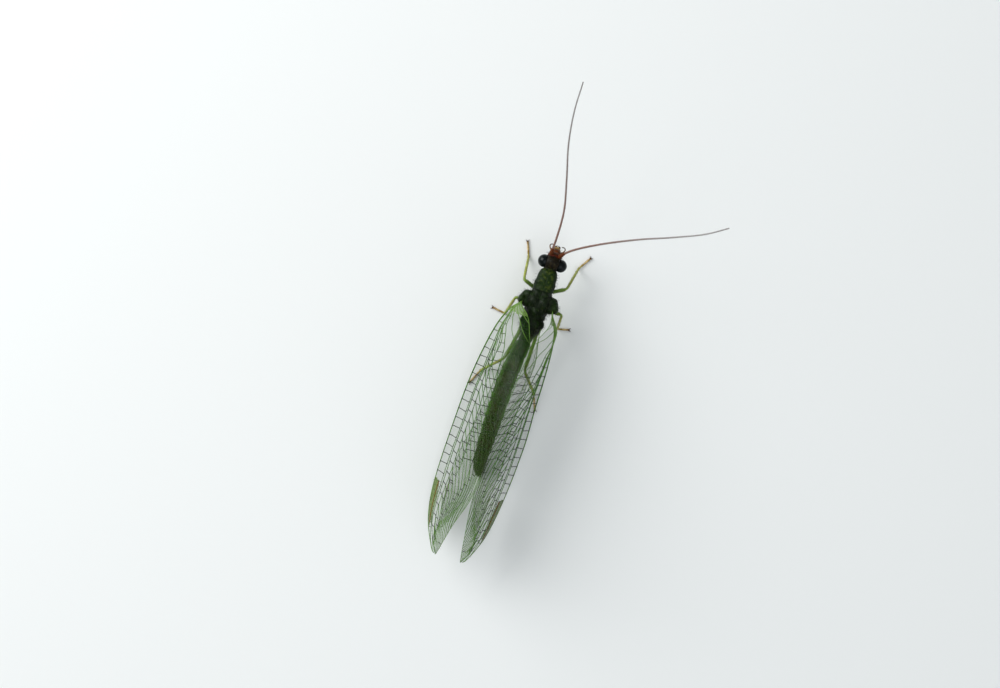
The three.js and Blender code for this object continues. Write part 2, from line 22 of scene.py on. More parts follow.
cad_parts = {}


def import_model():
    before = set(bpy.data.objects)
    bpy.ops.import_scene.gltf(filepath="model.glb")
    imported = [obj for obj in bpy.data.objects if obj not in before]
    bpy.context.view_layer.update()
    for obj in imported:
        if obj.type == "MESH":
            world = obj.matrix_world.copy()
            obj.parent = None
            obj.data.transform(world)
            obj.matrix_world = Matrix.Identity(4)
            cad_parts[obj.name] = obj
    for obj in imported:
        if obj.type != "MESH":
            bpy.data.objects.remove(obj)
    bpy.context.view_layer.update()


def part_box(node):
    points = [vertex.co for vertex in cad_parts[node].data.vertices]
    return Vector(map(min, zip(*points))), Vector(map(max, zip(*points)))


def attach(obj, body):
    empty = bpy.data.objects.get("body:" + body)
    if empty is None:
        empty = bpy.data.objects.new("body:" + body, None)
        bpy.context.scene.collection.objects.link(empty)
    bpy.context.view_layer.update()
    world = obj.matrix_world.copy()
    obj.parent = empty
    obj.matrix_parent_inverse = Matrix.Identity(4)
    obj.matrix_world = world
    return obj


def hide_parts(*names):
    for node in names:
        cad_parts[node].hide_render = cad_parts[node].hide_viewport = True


log = logging.getLogger("lacewing")

MM = 0.001
THORAX_X = -0.22  # the head and thorax stand a little to the right of the wings' middle
PROTHORAX_FRONT = -1.32
FLOOR_CLEARANCE = 0.004  # of what lies on the floor
LAST_HAIR = 12.7  # the rearmost station that hairs grow at
LOWEST_HAIR = 0.02
ROOT_SHARE = 0.9  # how far out a hair starts, as a share of its limb's radius

Point = tuple[float, float, float]
Spot = tuple[float, float]
Rows = Sequence[Sequence[float]]  # each a station and the values there, by rising station
Course = Callable[[float], float]


class Side(Enum):
    """A side of the animal, with the direction of X that it lies in."""

    LEFT = 1
    RIGHT = -1

    @property
    def word(self) -> str:
        """The side's word in the names of pieces."""
        return self.name.lower()


class Roundness(Enum):
    """How many sides a tube has, as the bevel resolution that gives them."""

    SIX = 1
    EIGHT = 2
    TWELVE = 4


# Numbers and curves


def smoothstep(low: float, high: float, value: np.ndarray | float) -> np.ndarray | float:
    """Rise smoothly from 0 at low to 1 at high."""
    share = np.clip((value - low) / (high - low), 0.0, 1.0)
    return share * share * (3 - 2 * share)


def mix(a: float, b: float, share: float) -> float:
    """The value a share of the way from a to b."""
    return a + (b - a) * share


def evenly(start: float, stop: float, count: int) -> list[float]:
    """Count values from start to stop, both included."""
    return [mix(start, stop, i / (count - 1)) for i in range(count)]


def band(rise: Spot, fall: Spot, value: np.ndarray | float) -> np.ndarray | float:
    """Rise smoothly from 0 to 1 over a first span, and fall back over a second one."""
    return smoothstep(*rise, value) * (1 - smoothstep(*fall, value))


def bell(value: np.ndarray, width: float) -> np.ndarray:
    """Fall smoothly from 1 at 0 to nearly 0 at twice the width on both sides."""
    return np.exp(-((value / width) ** 2))


def through(rows: Rows) -> Callable[[float], tuple[float, ...]]:
    """A smooth function through rows of a station and its values.

    Args:
        rows: Rows of [station, value, value, ...], by rising station.

    Returns:
        A function from a station to the values there.
    """
    last = len(rows) - 1

    def slope(k: int, column: int) -> float:
        """A column's slope at a row, from the rows on both sides of it."""
        before, after = rows[max(0, k - 1)], rows[min(last, k + 1)]
        return (after[column] - before[column]) / (after[0] - before[0])

    slopes = [[slope(k, column) for column in range(1, len(rows[0]))] for k in range(last + 1)]

    def at(station: float) -> tuple[float, ...]:
        """The values at a station."""
        i = 0
        while i < last - 1 and station > rows[i + 1][0]:
            i += 1
        span = rows[i + 1][0] - rows[i][0]
        t = (station - rows[i][0]) / span
        t2, t3 = t * t, t * t * t
        weights = (2 * t3 - 3 * t2 + 1, (t3 - 2 * t2 + t) * span, 3 * t2 - 2 * t3, (t3 - t2) * span)
        ends = zip(rows[i][1:], slopes[i], rows[i + 1][1:], slopes[i + 1])
        return tuple(sum(w * v for w, v in zip(weights, four)) for four in ends)

    return at


def on_line(t: float, low: float, high: float, p: Vector, q: Vector) -> Vector:
    """The point at t on the line that passes p at low and q at high."""
    return p.lerp(q, (t - low) / (high - low))


def curve_points(corners: Sequence[Vector], per_span: int = 8) -> list[Vector]:
    """Points of a smooth curve through the corners, by centripetal Catmull-Rom spans."""
    ends = [corners[0] * 2 - corners[1], *corners, corners[-1] * 2 - corners[-2]]
    made = [corners[0].copy()]
    for a, b, c, d in zip(ends, ends[1:], ends[2:], ends[3:]):
        knots = [0.0]
        for p, q in ((a, b), (b, c), (c, d)):
            knots.append(knots[-1] + max(1e-6, (q - p).length) ** 0.5)
        k0, k1, k2, k3 = knots
        for step in range(1, per_span + 1):
            t = mix(k1, k2, step / per_span)
            middle = on_line(t, k1, k2, b, c)
            early = on_line(t, k0, k2, on_line(t, k0, k1, a, b), middle)
            late = on_line(t, k1, k3, middle, on_line(t, k2, k3, c, d))
            made.append(on_line(t, k1, k2, early, late))
    return made


def length_of(points: Sequence[Vector]) -> float:
    """How long a chain of points is."""
    return sum((q - p).length for p, q in zip(points, points[1:]))


def tree_of(points: Iterable[Vector]) -> KDTree:
    """A search tree that finds the nearest of these points and its number."""
    numbered = list(enumerate(points))
    tree = KDTree(len(numbered))
    for i, point in numbered:
        tree.insert(point, i)
    tree.balance()
    return tree


def spaced(points: Sequence[Vector], count: int) -> list[Vector]:
    """Count points at equal distances along a chain of points."""
    lengths = [0.0]
    for p, q in zip(points, points[1:]):
        lengths.append(lengths[-1] + (q - p).length)
    made, i = [], 0
    for step in range(count):
        want = lengths[-1] * step / (count - 1)
        while i < len(points) - 2 and lengths[i + 1] < want:
            i += 1
        span = max(1e-9, lengths[i + 1] - lengths[i])
        made.append(points[i].lerp(points[i + 1], min(1.0, (want - lengths[i]) / span)))
    return made


def linear(hex_colour: str) -> np.ndarray:
    """The linear colour of an sRGB hex value."""
    value = np.array([int(hex_colour[i : i + 2], 16) / 255 for i in (1, 3, 5)])
    return np.where(value <= 0.04045, value / 12.92, ((value + 0.055) / 1.055) ** 2.4)


def coloured(count: int, hex_colour: str) -> np.ndarray:
    """The same linear colour for each of a number of points."""
    return np.tile(linear(hex_colour), (count, 1))


def lay(colours: np.ndarray, hex_colour: str, cover: np.ndarray) -> None:
    """Lay a colour over the points' own colours, as far as cover says."""
    colours += (linear(hex_colour) - colours) * np.clip(cover, 0, 1)[:, None]


# Modelling


def only(*objects: Object) -> Object:
    """Select only these objects, with the first one active."""
    bpy.ops.object.select_all(action="DESELECT")
    for each in objects:
        each.select_set(True)
    bpy.context.view_layer.objects.active = objects[0]
    return objects[0]


def joined(name: str, pieces: Sequence[Object]) -> Object:
    """Join mesh objects into the first one and name it."""
    made = only(*pieces)
    if len(pieces) > 1:
        bpy.ops.object.join()
    made.name = name
    made.data.name = name
    return made


def apply_modifier(piece: Object, kind: str, **settings: float | str | bool) -> None:
    """Add a modifier with its settings and apply it."""
    only(piece)
    modifier = piece.modifiers.new(kind.lower(), kind)
    for key, value in settings.items():
        setattr(modifier, key, value)
    bpy.ops.object.modifier_apply(modifier=modifier.name)


def places_of(piece: Object) -> np.ndarray:
    """The places of a mesh's points, one row each."""
    flat = np.empty(len(piece.data.vertices) * 3)
    piece.data.vertices.foreach_get("co", flat)
    return flat.reshape(-1, 3)


def normals_of(piece: Object) -> np.ndarray:
    """The directions in which a mesh's points face, one row each."""
    flat = np.empty(len(piece.data.vertices) * 3)
    piece.data.vertices.foreach_get("normal", flat)
    return flat.reshape(-1, 3)


def move_points(piece: Object, places: np.ndarray) -> None:
    """Give a mesh's points new places, none of them in the floor."""
    places[:, 2] = np.maximum(places[:, 2], FLOOR_CLEARANCE)
    piece.data.vertices.foreach_set("co", places.ravel())
    piece.data.update()


def face_outwards(piece: Object, merge: float = 0.0) -> None:
    """Turn a mesh's faces outwards, after merging points closer together than merge."""
    only(piece)
    bpy.ops.object.mode_set(mode="EDIT")
    bpy.ops.mesh.select_all(action="SELECT")
    if merge:
        bpy.ops.mesh.remove_doubles(threshold=merge)
    bpy.ops.mesh.normals_make_consistent(inside=False)
    bpy.ops.object.mode_set(mode="OBJECT")


def new_object(name: str, data: ID) -> Object:
    """Link a new object for some data to the scene."""
    made = bpy.data.objects.new(name, data)
    bpy.context.scene.collection.objects.link(made)
    return made


def primitive(add: Callable[..., set[str]], **settings: object) -> Object:
    """Add a primitive and apply its place and size to its mesh, with nothing else selected."""
    bpy.ops.object.select_all(action="DESELECT")
    add(**settings)
    bpy.ops.object.transform_apply(location=True, rotation=True, scale=True)
    return bpy.context.active_object


def mesh_piece(name: str, places: Sequence[Sequence[float]], faces: list) -> Object:
    """A mesh object from points and each face's point numbers."""
    mesh = bpy.data.meshes.new(name)
    mesh.from_pydata([tuple(p) for p in places], [], faces)
    mesh.update()
    return new_object(name, mesh)


def paint(piece: Object, colours: np.ndarray) -> None:
    """Store a linear colour for each point in the attribute that the finishes read."""
    layer = piece.data.color_attributes.new(TINT, "FLOAT_COLOR", "POINT")
    solid = np.ones((len(colours), 4))
    solid[:, :3] = np.clip(colours, 0, 1)
    layer.data.foreach_set("color", solid.ravel())


def dress(piece: Object, *materials: Material) -> None:
    """Give a piece its materials, in place of any it has."""
    piece.data.materials.clear()
    for each in materials:
        piece.data.materials.append(each)


@dataclass(frozen=True)
class Strand:
    """A line with a radius at each point, to be made a tube."""

    points: list[Vector]
    radii: list[float]

    @property
    def length(self) -> float:
        """How long the line is."""
        return length_of(self.points)


def profiled(points: list[Vector], rows: Rows) -> Strand:
    """A strand whose radius follows rows of a share of its length and the radius there."""
    radius = through(rows)
    return Strand(points, [radius(share)[0] for share in evenly(0.0, 1.0, len(points))])


def tubes(name: str, strands: Iterable[Strand], roundness: Roundness) -> Object:
    """Tubes along strands, as one mesh with closed ends.

    Args:
        name: The piece's name.
        strands: The lines and their radii.
        roundness: How many sides the tubes have.

    Returns:
        The mesh object.
    """
    curve = bpy.data.curves.new(name, "CURVE")
    curve.dimensions = "3D"
    curve.bevel_depth = 1.0
    curve.bevel_resolution = roundness.value
    curve.use_fill_caps = True
    for strand in strands:
        spline = curve.splines.new("POLY")
        spline.points.add(len(strand.points) - 1)
        for knot, place, radius in zip(spline.points, strand.points, strand.radii):
            knot.co = (*place, 1.0)
            knot.radius = radius
    only(new_object(name, curve))
    bpy.ops.object.convert(target="MESH")
    made = bpy.context.view_layer.objects.active
    face_outwards(made, merge=1e-5)
    made.name = name
    return made


@dataclass(frozen=True)
class Lump:
    """A rounded form of the body before its forms are blended into one skin."""

    place: Point
    radii: Point
    pitch: float = 0.0  # degrees, nose up
    yaw: float = 0.0  # degrees, nose to the animal's left
    paired: bool = False

    def build(self, middle: Point) -> list[Object]:
        """Add the form, and its mirror image where it is one of a pair.

        Args:
            middle: The point that places are measured from.

        Returns:
            The new mesh objects.
        """
        made = []
        for side in Side if self.paired else [Side.LEFT]:
            x = middle[0] + side.value * self.place[0]
            ball = primitive(
                bpy.ops.mesh.primitive_uv_sphere_add,
                segments=28,
                ring_count=16,
                radius=1.0,
                location=(x, middle[1] + self.place[1], middle[2] + self.place[2]),
                rotation=(math.radians(self.pitch), 0.0, math.radians(self.yaw) * side.value),
                scale=self.radii,
            )
            made.append(ball)
        return made


def ringed_loft(name: str, rings: Sequence[tuple[Vector, float, float]], sides: int = 40) -> Object:
    """A closed body drawn out along Y, ring by ring, from a filled circle.

    Args:
        name: The piece's name.
        rings: The middle, half width and half height of each ring.
        sides: Points round a ring.

    Returns:
        The mesh object.
    """
    middle, width, height = rings[0]
    upright = {"location": middle, "rotation": (math.pi / 2, 0.0, 0.0)}
    circle = bpy.ops.mesh.primitive_circle_add
    made = primitive(circle, vertices=sides, radius=1.0, fill_type="NGON", **upright)
    made.name = name
    bpy.ops.object.mode_set(mode="EDIT")
    bpy.ops.mesh.select_mode(type="FACE")
    bpy.ops.mesh.select_all(action="SELECT")
    bpy.ops.transform.resize(value=(width, 1.0, height), center_override=middle)
    for (old, old_width, old_height), (new, width, height) in zip(rings, rings[1:]):
        bpy.ops.mesh.extrude_region_move(TRANSFORM_OT_translate={"value": new - old})
        stretch = (width / old_width, 1.0, height / old_height)
        bpy.ops.transform.resize(value=stretch, center_override=new)
    bpy.ops.object.mode_set(mode="OBJECT")
    face_outwards(made)
    return made


@dataclass(frozen=True)
class Datum:
    """Where the animal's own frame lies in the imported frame, in millimetres."""

    shift: Vector

    @classmethod
    def from_frame(cls) -> Datum:
        """Read the place of the prothorax, which both frames know."""
        low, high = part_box("prothorax")
        middle = (low.x + high.x) / 2 / MM
        return cls(Vector((middle - THORAX_X, low.y / MM - PROTHORAX_FRONT, 0.0)))

    def place(self, point: Point) -> Vector:
        """A point of the animal's frame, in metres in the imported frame."""
        return (Vector(point) + self.shift) * MM

    def settle(self, piece: Object, *nodes: str, slot: str, smooth: float = 180.0) -> None:
        """Args:
            piece: The piece, in the animal's millimetres.
            nodes: The nodes that it stands for.
            slot: Not used.
            smooth: Edges sharper than this many degrees stay crisp.
        """
        piece.data.transform(Matrix.Scale(MM, 4) @ Matrix.Translation(self.shift))
        piece.data.update()
        only(piece)
        bpy.ops.object.shade_smooth_by_angle(angle=math.radians(smooth))
        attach(piece, "root")
        if nodes:
            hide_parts(*nodes)
        log.info("%s: %d triangles", piece.name, sum(len(p.vertices) - 2 for p in piece.data.polygons))

    def settle_plain(self, piece: Object, colour: str, look: Material, slot: str) -> None:
        """Give a piece of one colour its finish and settle it.

        Args:
            piece: The piece, in the animal's millimetres.
            colour: Its colour.
            look: Its finish.
            slot: The material slot of the record that its finish belongs to.
        """
        paint(piece, coloured(len(piece.data.vertices), colour))
        dress(piece, look)
        self.settle(piece, slot=slot)


# Finishes

TINT = "tint"  # the attribute that holds a piece's colours


def add_node(
    tree: NodeTree, kind: str, settings: dict | None = None, links: dict | None = None
) -> Node:
    """Add a node with its settings and links.

    Args:
        tree: The node tree.
        kind: The node's type name.
        settings: Properties and input values, by name.
        links: The sockets that feed its inputs, by input name or number.

    Returns:
        The node.
    """
    node = tree.nodes.new(kind)
    for key, value in (settings or {}).items():
        if hasattr(node, key):
            setattr(node, key, value)
        else:
            node.inputs[key].default_value = value
    for key, socket in (links or {}).items():
        tree.links.new(socket, node.inputs[key])
    return node


def per_metre(millimetres: float) -> float:
    """The texture scale that repeats about once in this many millimetres."""
    return 1 / (millimetres * MM)


@dataclass(frozen=True)
class Finish:
    """A surface finish, named for what the real surface is."""

    name: str

    def material(self) -> Material:
        """Build the material round the finish's own shader."""
        made = bpy.data.materials.new(self.name)
        made.use_nodes = True
        tree = made.node_tree
        tree.nodes.clear()
        place = add_node(tree, "ShaderNodeTexCoord").outputs["Object"]
        surface = self.shader(tree, place).outputs["BSDF"]
        add_node(tree, "ShaderNodeOutputMaterial", links={"Surface": surface})
        return made

    def shader(self, tree: NodeTree, place: NodeSocket) -> Node:
        """Build the nodes that give the finish its look.

        Args:
            tree: The material's node tree.
            place: The socket that gives the place on the piece, in metres.

        Returns:
            The shader.
        """
        raise NotImplementedError(f"{self.name} has no shader")


@dataclass(frozen=True)
class Cuticle(Finish):
    """Insect cuticle: a thin horny skin, waxed by the animal itself, over coloured tissue.

    Its colours come from the tissue and so run softly into one another, with blotches and fine
    grain on top. The surface has tiny cells and wrinkles, which break the shine up.
    """

    roughness: float = 0.5
    wax: float = 0.04  # a thin clear coat
    blotch_mm: float = 0.16
    blotch: float = 0.3  # how far blotches darken
    grain_mm: float = 0.03
    relief_mm: float = 0.004
    glow: float = 0.12  # light that passes through the skin and comes out again
    glow_mm: float = 0.15  # how far it gets

    def shader(self, tree: NodeTree, place: NodeSocket) -> Node:
        """Scale the piece's own colours by blotches, and raise the grain."""
        tint = add_node(tree, "ShaderNodeAttribute", {"attribute_name": TINT}).outputs["Color"]
        patchy = {"Scale": per_metre(self.blotch_mm), "Detail": 4.0, "Roughness": 0.6}
        blotches = add_node(tree, "ShaderNodeTexNoise", patchy, {"Vector": place}).outputs["Fac"]
        cells = {"Scale": per_metre(self.grain_mm), "Randomness": 0.9}
        grain = add_node(tree, "ShaderNodeTexVoronoi", cells, {"Vector": place}).outputs["Distance"]
        dark, light = 1 - self.blotch, 1 + self.blotch * 0.5
        reach = {"From Min": 0.3, "From Max": 0.7, "To Min": dark, "To Max": light}
        shade = add_node(tree, "ShaderNodeMapRange", reach, {"Value": blotches}).outputs["Result"]
        scaled = {0: tint, "Scale": shade}
        colour = add_node(tree, "ShaderNodeVectorMath", {"operation": "SCALE"}, scaled).outputs["Vector"]
        reach = {"To Min": self.roughness - 0.08, "To Max": self.roughness + 0.12}
        rough = add_node(tree, "ShaderNodeMapRange", reach, {"Value": blotches}).outputs["Result"]
        relief = {"Strength": 0.5, "Distance": self.relief_mm * MM}
        bump = add_node(tree, "ShaderNodeBump", relief, {"Height": grain}).outputs["Normal"]
        skin = {
            "IOR": 1.2,
            "Subsurface Weight": self.glow,
            "Subsurface Radius": (0.6, 1.0, 0.3),
            "Subsurface Scale": self.glow_mm * MM,
            "Coat Weight": self.wax,
            "Coat Roughness": 0.22,
        }
        feeds = {"Base Color": colour, "Roughness": rough, "Normal": bump}
        return add_node(tree, "ShaderNodeBsdfPrincipled", skin, feeds)


@dataclass(frozen=True)
class Bristle(Cuticle):
    """The cuticle of a hair, too thin to glow or to show much blotch or relief."""

    blotch: float = 0.1
    relief_mm: float = 0.001
    glow: float = 0.0


@dataclass(frozen=True)
class EyeLens(Finish):
    """The lenses of a compound eye: glassy domes over black pigment, with a cold grey-green glint."""

    name: str = "compound_eye_lenses"
    colour: str = "#020303"
    rim: str = "#081210"
    cloud_mm: float = 0.3

    def shader(self, tree: NodeTree, place: NodeSocket) -> Node:
        """Cloud the pigment and lay a glassy coat over it."""
        soft = {"Scale": per_metre(self.cloud_mm), "Detail": 2.0}
        cloud = add_node(tree, "ShaderNodeTexNoise", soft, {"Vector": place}).outputs["Fac"]
        pigment = add_node(tree, "ShaderNodeMix", {"data_type": "RGBA"}, {"Factor": cloud})
        for socket, shade in zip([s for s in pigment.inputs if s.type == "RGBA"], (self.colour, self.rim)):
            socket.default_value = (*linear(shade), 1)
        result = next(s for s in pigment.outputs if s.type == "RGBA")
        glass = {
            "Roughness": 0.25,
            "IOR": 1.18,
            "Coat Weight": 0.2,
            "Coat Roughness": 0.09,
            "Coat Tint": (0.75, 1.0, 0.92, 1.0),
        }
        return add_node(tree, "ShaderNodeBsdfPrincipled", glass, {"Base Color": result})


@dataclass(frozen=True)
class WingMembrane(Finish):
    """Wing membrane: two layers of cuticle dried to a clear, faintly green film.

    It is nearly invisible from above. Its gloss shows where it turns away, broken up by pleats too
    fine for the mesh.
    """

    colour: str
    cover: float  # the share of what lies behind that one face hides
    roughness: float = 0.14
    pleat_mm: float = 0.25
    relief_mm: float = 0.02

    def shader(self, tree: NodeTree, place: NodeSocket) -> Node:
        """Vary the film's colour and relief along its pleats."""
        soft = {"Scale": per_metre(self.pleat_mm), "Detail": 2.0}
        pleats = add_node(tree, "ShaderNodeTexNoise", soft, {"Vector": place}).outputs["Fac"]
        reach = {"To Min": 0.8, "To Max": 1.15}
        tint = add_node(tree, "ShaderNodeMapRange", reach, {"Value": pleats}).outputs["Result"]
        colour = add_node(tree, "ShaderNodeVectorMath", {"operation": "SCALE"}, {"Scale": tint})
        colour.inputs[0].default_value = tuple(linear(self.colour))
        relief = {"Strength": 0.6, "Distance": self.relief_mm * MM}
        bump = add_node(tree, "ShaderNodeBump", relief, {"Height": pleats}).outputs["Normal"]
        film = {"Roughness": self.roughness, "IOR": 1.3, "Alpha": self.cover}
        feeds = {"Base Color": colour.outputs["Vector"], "Normal": bump}
        return add_node(tree, "ShaderNodeBsdfPrincipled", film, feeds)


@dataclass(frozen=True)
class StudioFloor(Finish):
    """Matt lacquered board: an even, pale, slightly cool ground."""

    name: str = "matt_lacquered_board"
    colour: str = "#eaecea"
    grain_mm: float = 40.0

    def shader(self, tree: NodeTree, place: NodeSocket) -> Node:
        """Let the lacquer's gloss vary a little."""
        soft = {"Scale": per_metre(self.grain_mm), "Detail": 3.0}
        grain = add_node(tree, "ShaderNodeTexNoise", soft, {"Vector": place}).outputs["Fac"]
        reach = {"To Min": 0.55, "To Max": 0.7}
        rough = add_node(tree, "ShaderNodeMapRange", reach, {"Value": grain}).outputs["Result"]
        board = {"Base Color": (*linear(self.colour), 1), "IOR": 1.45}
        return add_node(tree, "ShaderNodeBsdfPrincipled", board, {"Roughness": rough})


# Hairs

HAIR_CORNERS = 7
PATCH_SIZE = 0.003  # of a hair on the unwrapped skin


@dataclass
class Bristles:
    """Short, tapered, slightly bent hairs, gathered until they are made one mesh."""

    seed: int
    thickness: float = 0.008
    bend: float = 0.25  # how far a hair curves towards its lie, as a share of its length
    rooted: float = 0.12  # the share of its length that lies in the skin
    taper: float = 0.34  # its radius halfway, as a share of its thickness
    hairs: list[tuple[Vector, Vector, Vector, float, Spot]] = field(default_factory=list)

    def __post_init__(self) -> None:
        """Start this coat's own run of random numbers."""
        self.rng = random.Random(self.seed)

    def add(self, root: Vector, lean: Vector, lie: Vector, length: float, patch: Spot) -> None:
        """Add one hair.

        Args:
            root: Where it grows.
            lean: The direction that it leaves the skin in.
            lie: The direction that it bends to.
            length: Its length, which is varied.
            patch: The root's place on the unwrapped skin, from 0 to 1 each way.
        """
        self.hairs.append((root, lean, lie, length * self.rng.uniform(0.75, 1.2), patch))

    def build(self, name: str) -> Object:
        """Make all the hairs one mesh, each a closed three-sided cone with one bend."""
        roots, leans, lies = (np.array([tuple(each[k]) for each in self.hairs]) for k in range(3))
        lengths = np.array([hair[3] for hair in self.hairs])[:, None]
        leans /= np.linalg.norm(leans, axis=1, keepdims=True)
        across = np.cross(leans, leans[:, [1, 2, 0]] + 0.3)
        across /= np.linalg.norm(across, axis=1, keepdims=True)
        other = np.cross(leans, across)
        middle = roots + leans * lengths * 0.5 + lies * lengths * self.bend * 0.25
        tip = roots + leans * lengths * 0.92 + lies * lengths * self.bend
        start = roots - leans * lengths * self.rooted
        corners = []
        for place, radius in ((start, self.thickness / 2), (middle, self.thickness * self.taper)):
            for turn in (0.0, 2 * math.pi / 3, 4 * math.pi / 3):
                corners.append(place + (across * math.cos(turn) + other * math.sin(turn)) * radius)
        corners.append(tip)
        places = np.stack(corners, axis=1).reshape(-1, 3)
        places[:, 2] = np.maximum(places[:, 2], FLOOR_CLEARANCE)
        pattern = [(2, 1, 0), (0, 1, 4, 3), (1, 2, 5, 4), (2, 0, 3, 5), (3, 4, 6), (4, 5, 6), (5, 3, 6)]
        count = len(roots)
        faces = [tuple(HAIR_CORNERS * i + c for c in face) for i in range(count) for face in pattern]
        made = mesh_piece(name, places, faces)
        self.unwrap(made)
        return made

    def unwrap(self, piece: Object) -> None:
        """Lay each hair as a tiny patch at its root's place on the unwrapped skin."""
        layer = piece.data.uv_layers.new(name="OFBake")
        corners = np.empty(len(piece.data.loops), dtype=np.int32)
        piece.data.loops.foreach_get("vertex_index", corners)
        inside = np.array([(0, 0), (1, 0), (0.5, 0.4), (0.1, 0.5), (0.9, 0.5), (0.5, 0.7), (0.5, 1)])
        patches = np.array([hair[4] for hair in self.hairs])
        spots = patches[corners // HAIR_CORNERS] + inside[corners % HAIR_CORNERS] * PATCH_SIZE
        layer.data.foreach_set("uv", spots.ravel())


def wrap01(value: float) -> float:
    """Keep a coordinate of an unwrapped skin between 0 and nearly 1."""
    return min(0.996, max(0.0, value))


def round_about(along: Vector, turn: float) -> Vector:
    """A unit direction square to another one, at this turn round it."""
    other = Vector((0, 0, 1)) if abs(along.z) < 0.9 else Vector((1, 0, 0))
    across = along.cross(other).normalized()
    return across * math.cos(turn) + along.cross(across) * math.sin(turn)


def hair_on_strand(coat: Bristles, strand: Strand, count: int, length: float, lift: float) -> None:
    """Grow hairs round a strand at random, leaning towards its far end.

    Args:
        coat: Where the hairs are gathered.
        strand: The limb's middle line and radii.
        count: How many hairs.
        length: Their usual length.
        lift: How steeply they stand, from 0 along the limb to 1 straight out.
    """
    last = len(strand.points) - 1
    for _ in range(count):
        station = 0.999 * coat.rng.random() * last
        i = int(station)
        along = (strand.points[i + 1] - strand.points[i]).normalized()
        turn = coat.rng.uniform(0, 2 * math.pi)
        out = round_about(along, turn)
        middle = strand.points[i].lerp(strand.points[i + 1], station - i)
        radius = mix(strand.radii[i], strand.radii[i + 1], station - i)
        root = middle + out * radius * ROOT_SHARE
        if root.z < LOWEST_HAIR or root.y > LAST_HAIR:
            continue
        patch = (wrap01(station / last), wrap01(turn / (2 * math.pi)))
        coat.add(root, out * lift + along * (1 - lift), along, length, patch)


# Head, thorax and abdomen: one skin


@dataclass(frozen=True)
class Stroke:
    """A line on the skin, seen from above or from the side, for a groove or a stripe."""

    points: tuple[tuple[float, float], ...]  # (x, y) from above, or (y, z) from the side
    width: float
    from_side: bool = False
    paired: bool = False

    def strength(self, places: np.ndarray, normals: np.ndarray) -> np.ndarray:
        """How strongly the line covers each point, from 0 to 1.

        Args:
            places: The points, with x measured from the body's middle.
            normals: The directions that they face.

        Returns:
            One value for each point.
        """
        across, up = (1, 2) if self.from_side else (0, 1)
        flat = places[:, [across, up]].copy()
        if self.paired:
            flat[:, 0] = np.abs(flat[:, 0])
        best = np.full(len(flat), np.inf)
        for p, q in zip(self.points, self.points[1:]):
            start, step = np.array(p), np.array(q) - np.array(p)
            share = np.clip(((flat - start) @ step) / (step @ step), 0, 1)
            best = np.minimum(best, np.linalg.norm(flat - start - share[:, None] * step, axis=1))
        facing = np.abs(normals[:, 0]) if self.from_side else normals[:, 2]
        return bell(best, self.width) * smoothstep(0.05, 0.4, facing)


def spot(places: np.ndarray, middle: Point, radii: Point, soft: float = 0.35) -> np.ndarray:
    """How strongly an ellipsoid covers each point, with a soft edge."""
    reach = np.linalg.norm((places - np.array(middle)) / np.array(radii), axis=1)
    return 1 - smoothstep(1 - soft, 1 + soft, reach)


def mottle(places: np.ndarray, size: float) -> np.ndarray:
    """Uneven patches of about this size, from -1 to 1, as marks on the skin."""
    return np.array([noise.noise(Vector(place) / size) for place in places.tolist()])


@dataclass(frozen=True)
class Abdomen:
    """The abdomen: nine telescoping rings with soft skin between them and along each flank."""

    front: float = 1.45
    end: float = 8.86
    first_ring: float = 2.0
    rings: int = 8
    tail: float = 0.5
    swell: float = 0.07  # how much wider a ring is at its rear edge
    step: float = 0.055  # how far the skin drops behind that edge, as a share of its size
    ring_shares: tuple[float, ...] = (0.0, 0.1, 0.35, 0.65, 0.86, 0.93)
    tail_steps: tuple[float, ...] = (0.49, 0.4, 0.3, 0.2, 0.12, 0.05, 0.0)  # from the end

    # [y, x, z, half width, half height]
    rows: tuple[tuple[float, ...], ...] = (
        (1.45, -0.21, 1.98, 0.3, 0.36),
        (1.9, -0.18, 1.92, 0.34, 0.41),
        (3.0, -0.03, 1.7, 0.42, 0.46),
        (4.4, 0.06, 1.45, 0.44, 0.47),
        (5.9, 0.05, 1.18, 0.43, 0.46),
        (7.2, 0.03, 0.84, 0.37, 0.42),
        (8.2, 0.0, 0.5, 0.31, 0.37),
        (8.62, -0.08, 0.32, 0.22, 0.29),
        (8.86, -0.12, 0.24, 0.07, 0.1),
    )

    @property
    def ring_length(self) -> float:
        """How long one ring is."""
        return (self.end - self.tail - self.first_ring) / self.rings

    def ring_share(self, y: np.ndarray | float) -> np.ndarray | float:
        """The ring that a station lies in, counted from 0, with its share along that ring."""
        return (y - self.first_ring) / self.ring_length

    def build(self) -> Object:
        """Draw the abdomen out ring by ring."""
        stations = [(self.front, 1.0), (1.7, 1.0)]
        for ring in range(self.rings):
            for share in self.ring_shares:
                size = 1 - self.step if share == 0.0 else 1 + self.swell * (share - 0.5)
                stations.append((self.first_ring + self.ring_length * (ring + share), size))
        stations += [(self.end - short, 1.0) for short in self.tail_steps]
        at = through(self.rows)
        rings = []
        for y, size in stations:
            x, z, width, height = at(y)
            rings.append((Vector((x, y, z)), width * size, height * size))
        return ringed_loft("abdomen_form", rings)

    def middle(self, y: np.ndarray) -> tuple[np.ndarray, np.ndarray]:
        """The middle line's x and height at each station."""
        rows = np.array(self.rows)
        return np.interp(y, rows[:, 0], rows[:, 1]), np.interp(y, rows[:, 0], rows[:, 2])


HEAD = (-0.24, -1.95, 2.22)
EYE = (0.4, 0.03, -0.02)  # from the head's middle to the left eye's
EYE_R = 0.31
MOUTH = (-0.24, -2.68, 1.66)


def from_head(side: Side, x: float, y: float, z: float) -> Point:
    """A place on one side of the head, from the head's middle, with x outwards."""
    return (HEAD[0] + side.value * x, HEAD[1] + y, HEAD[2] + z)


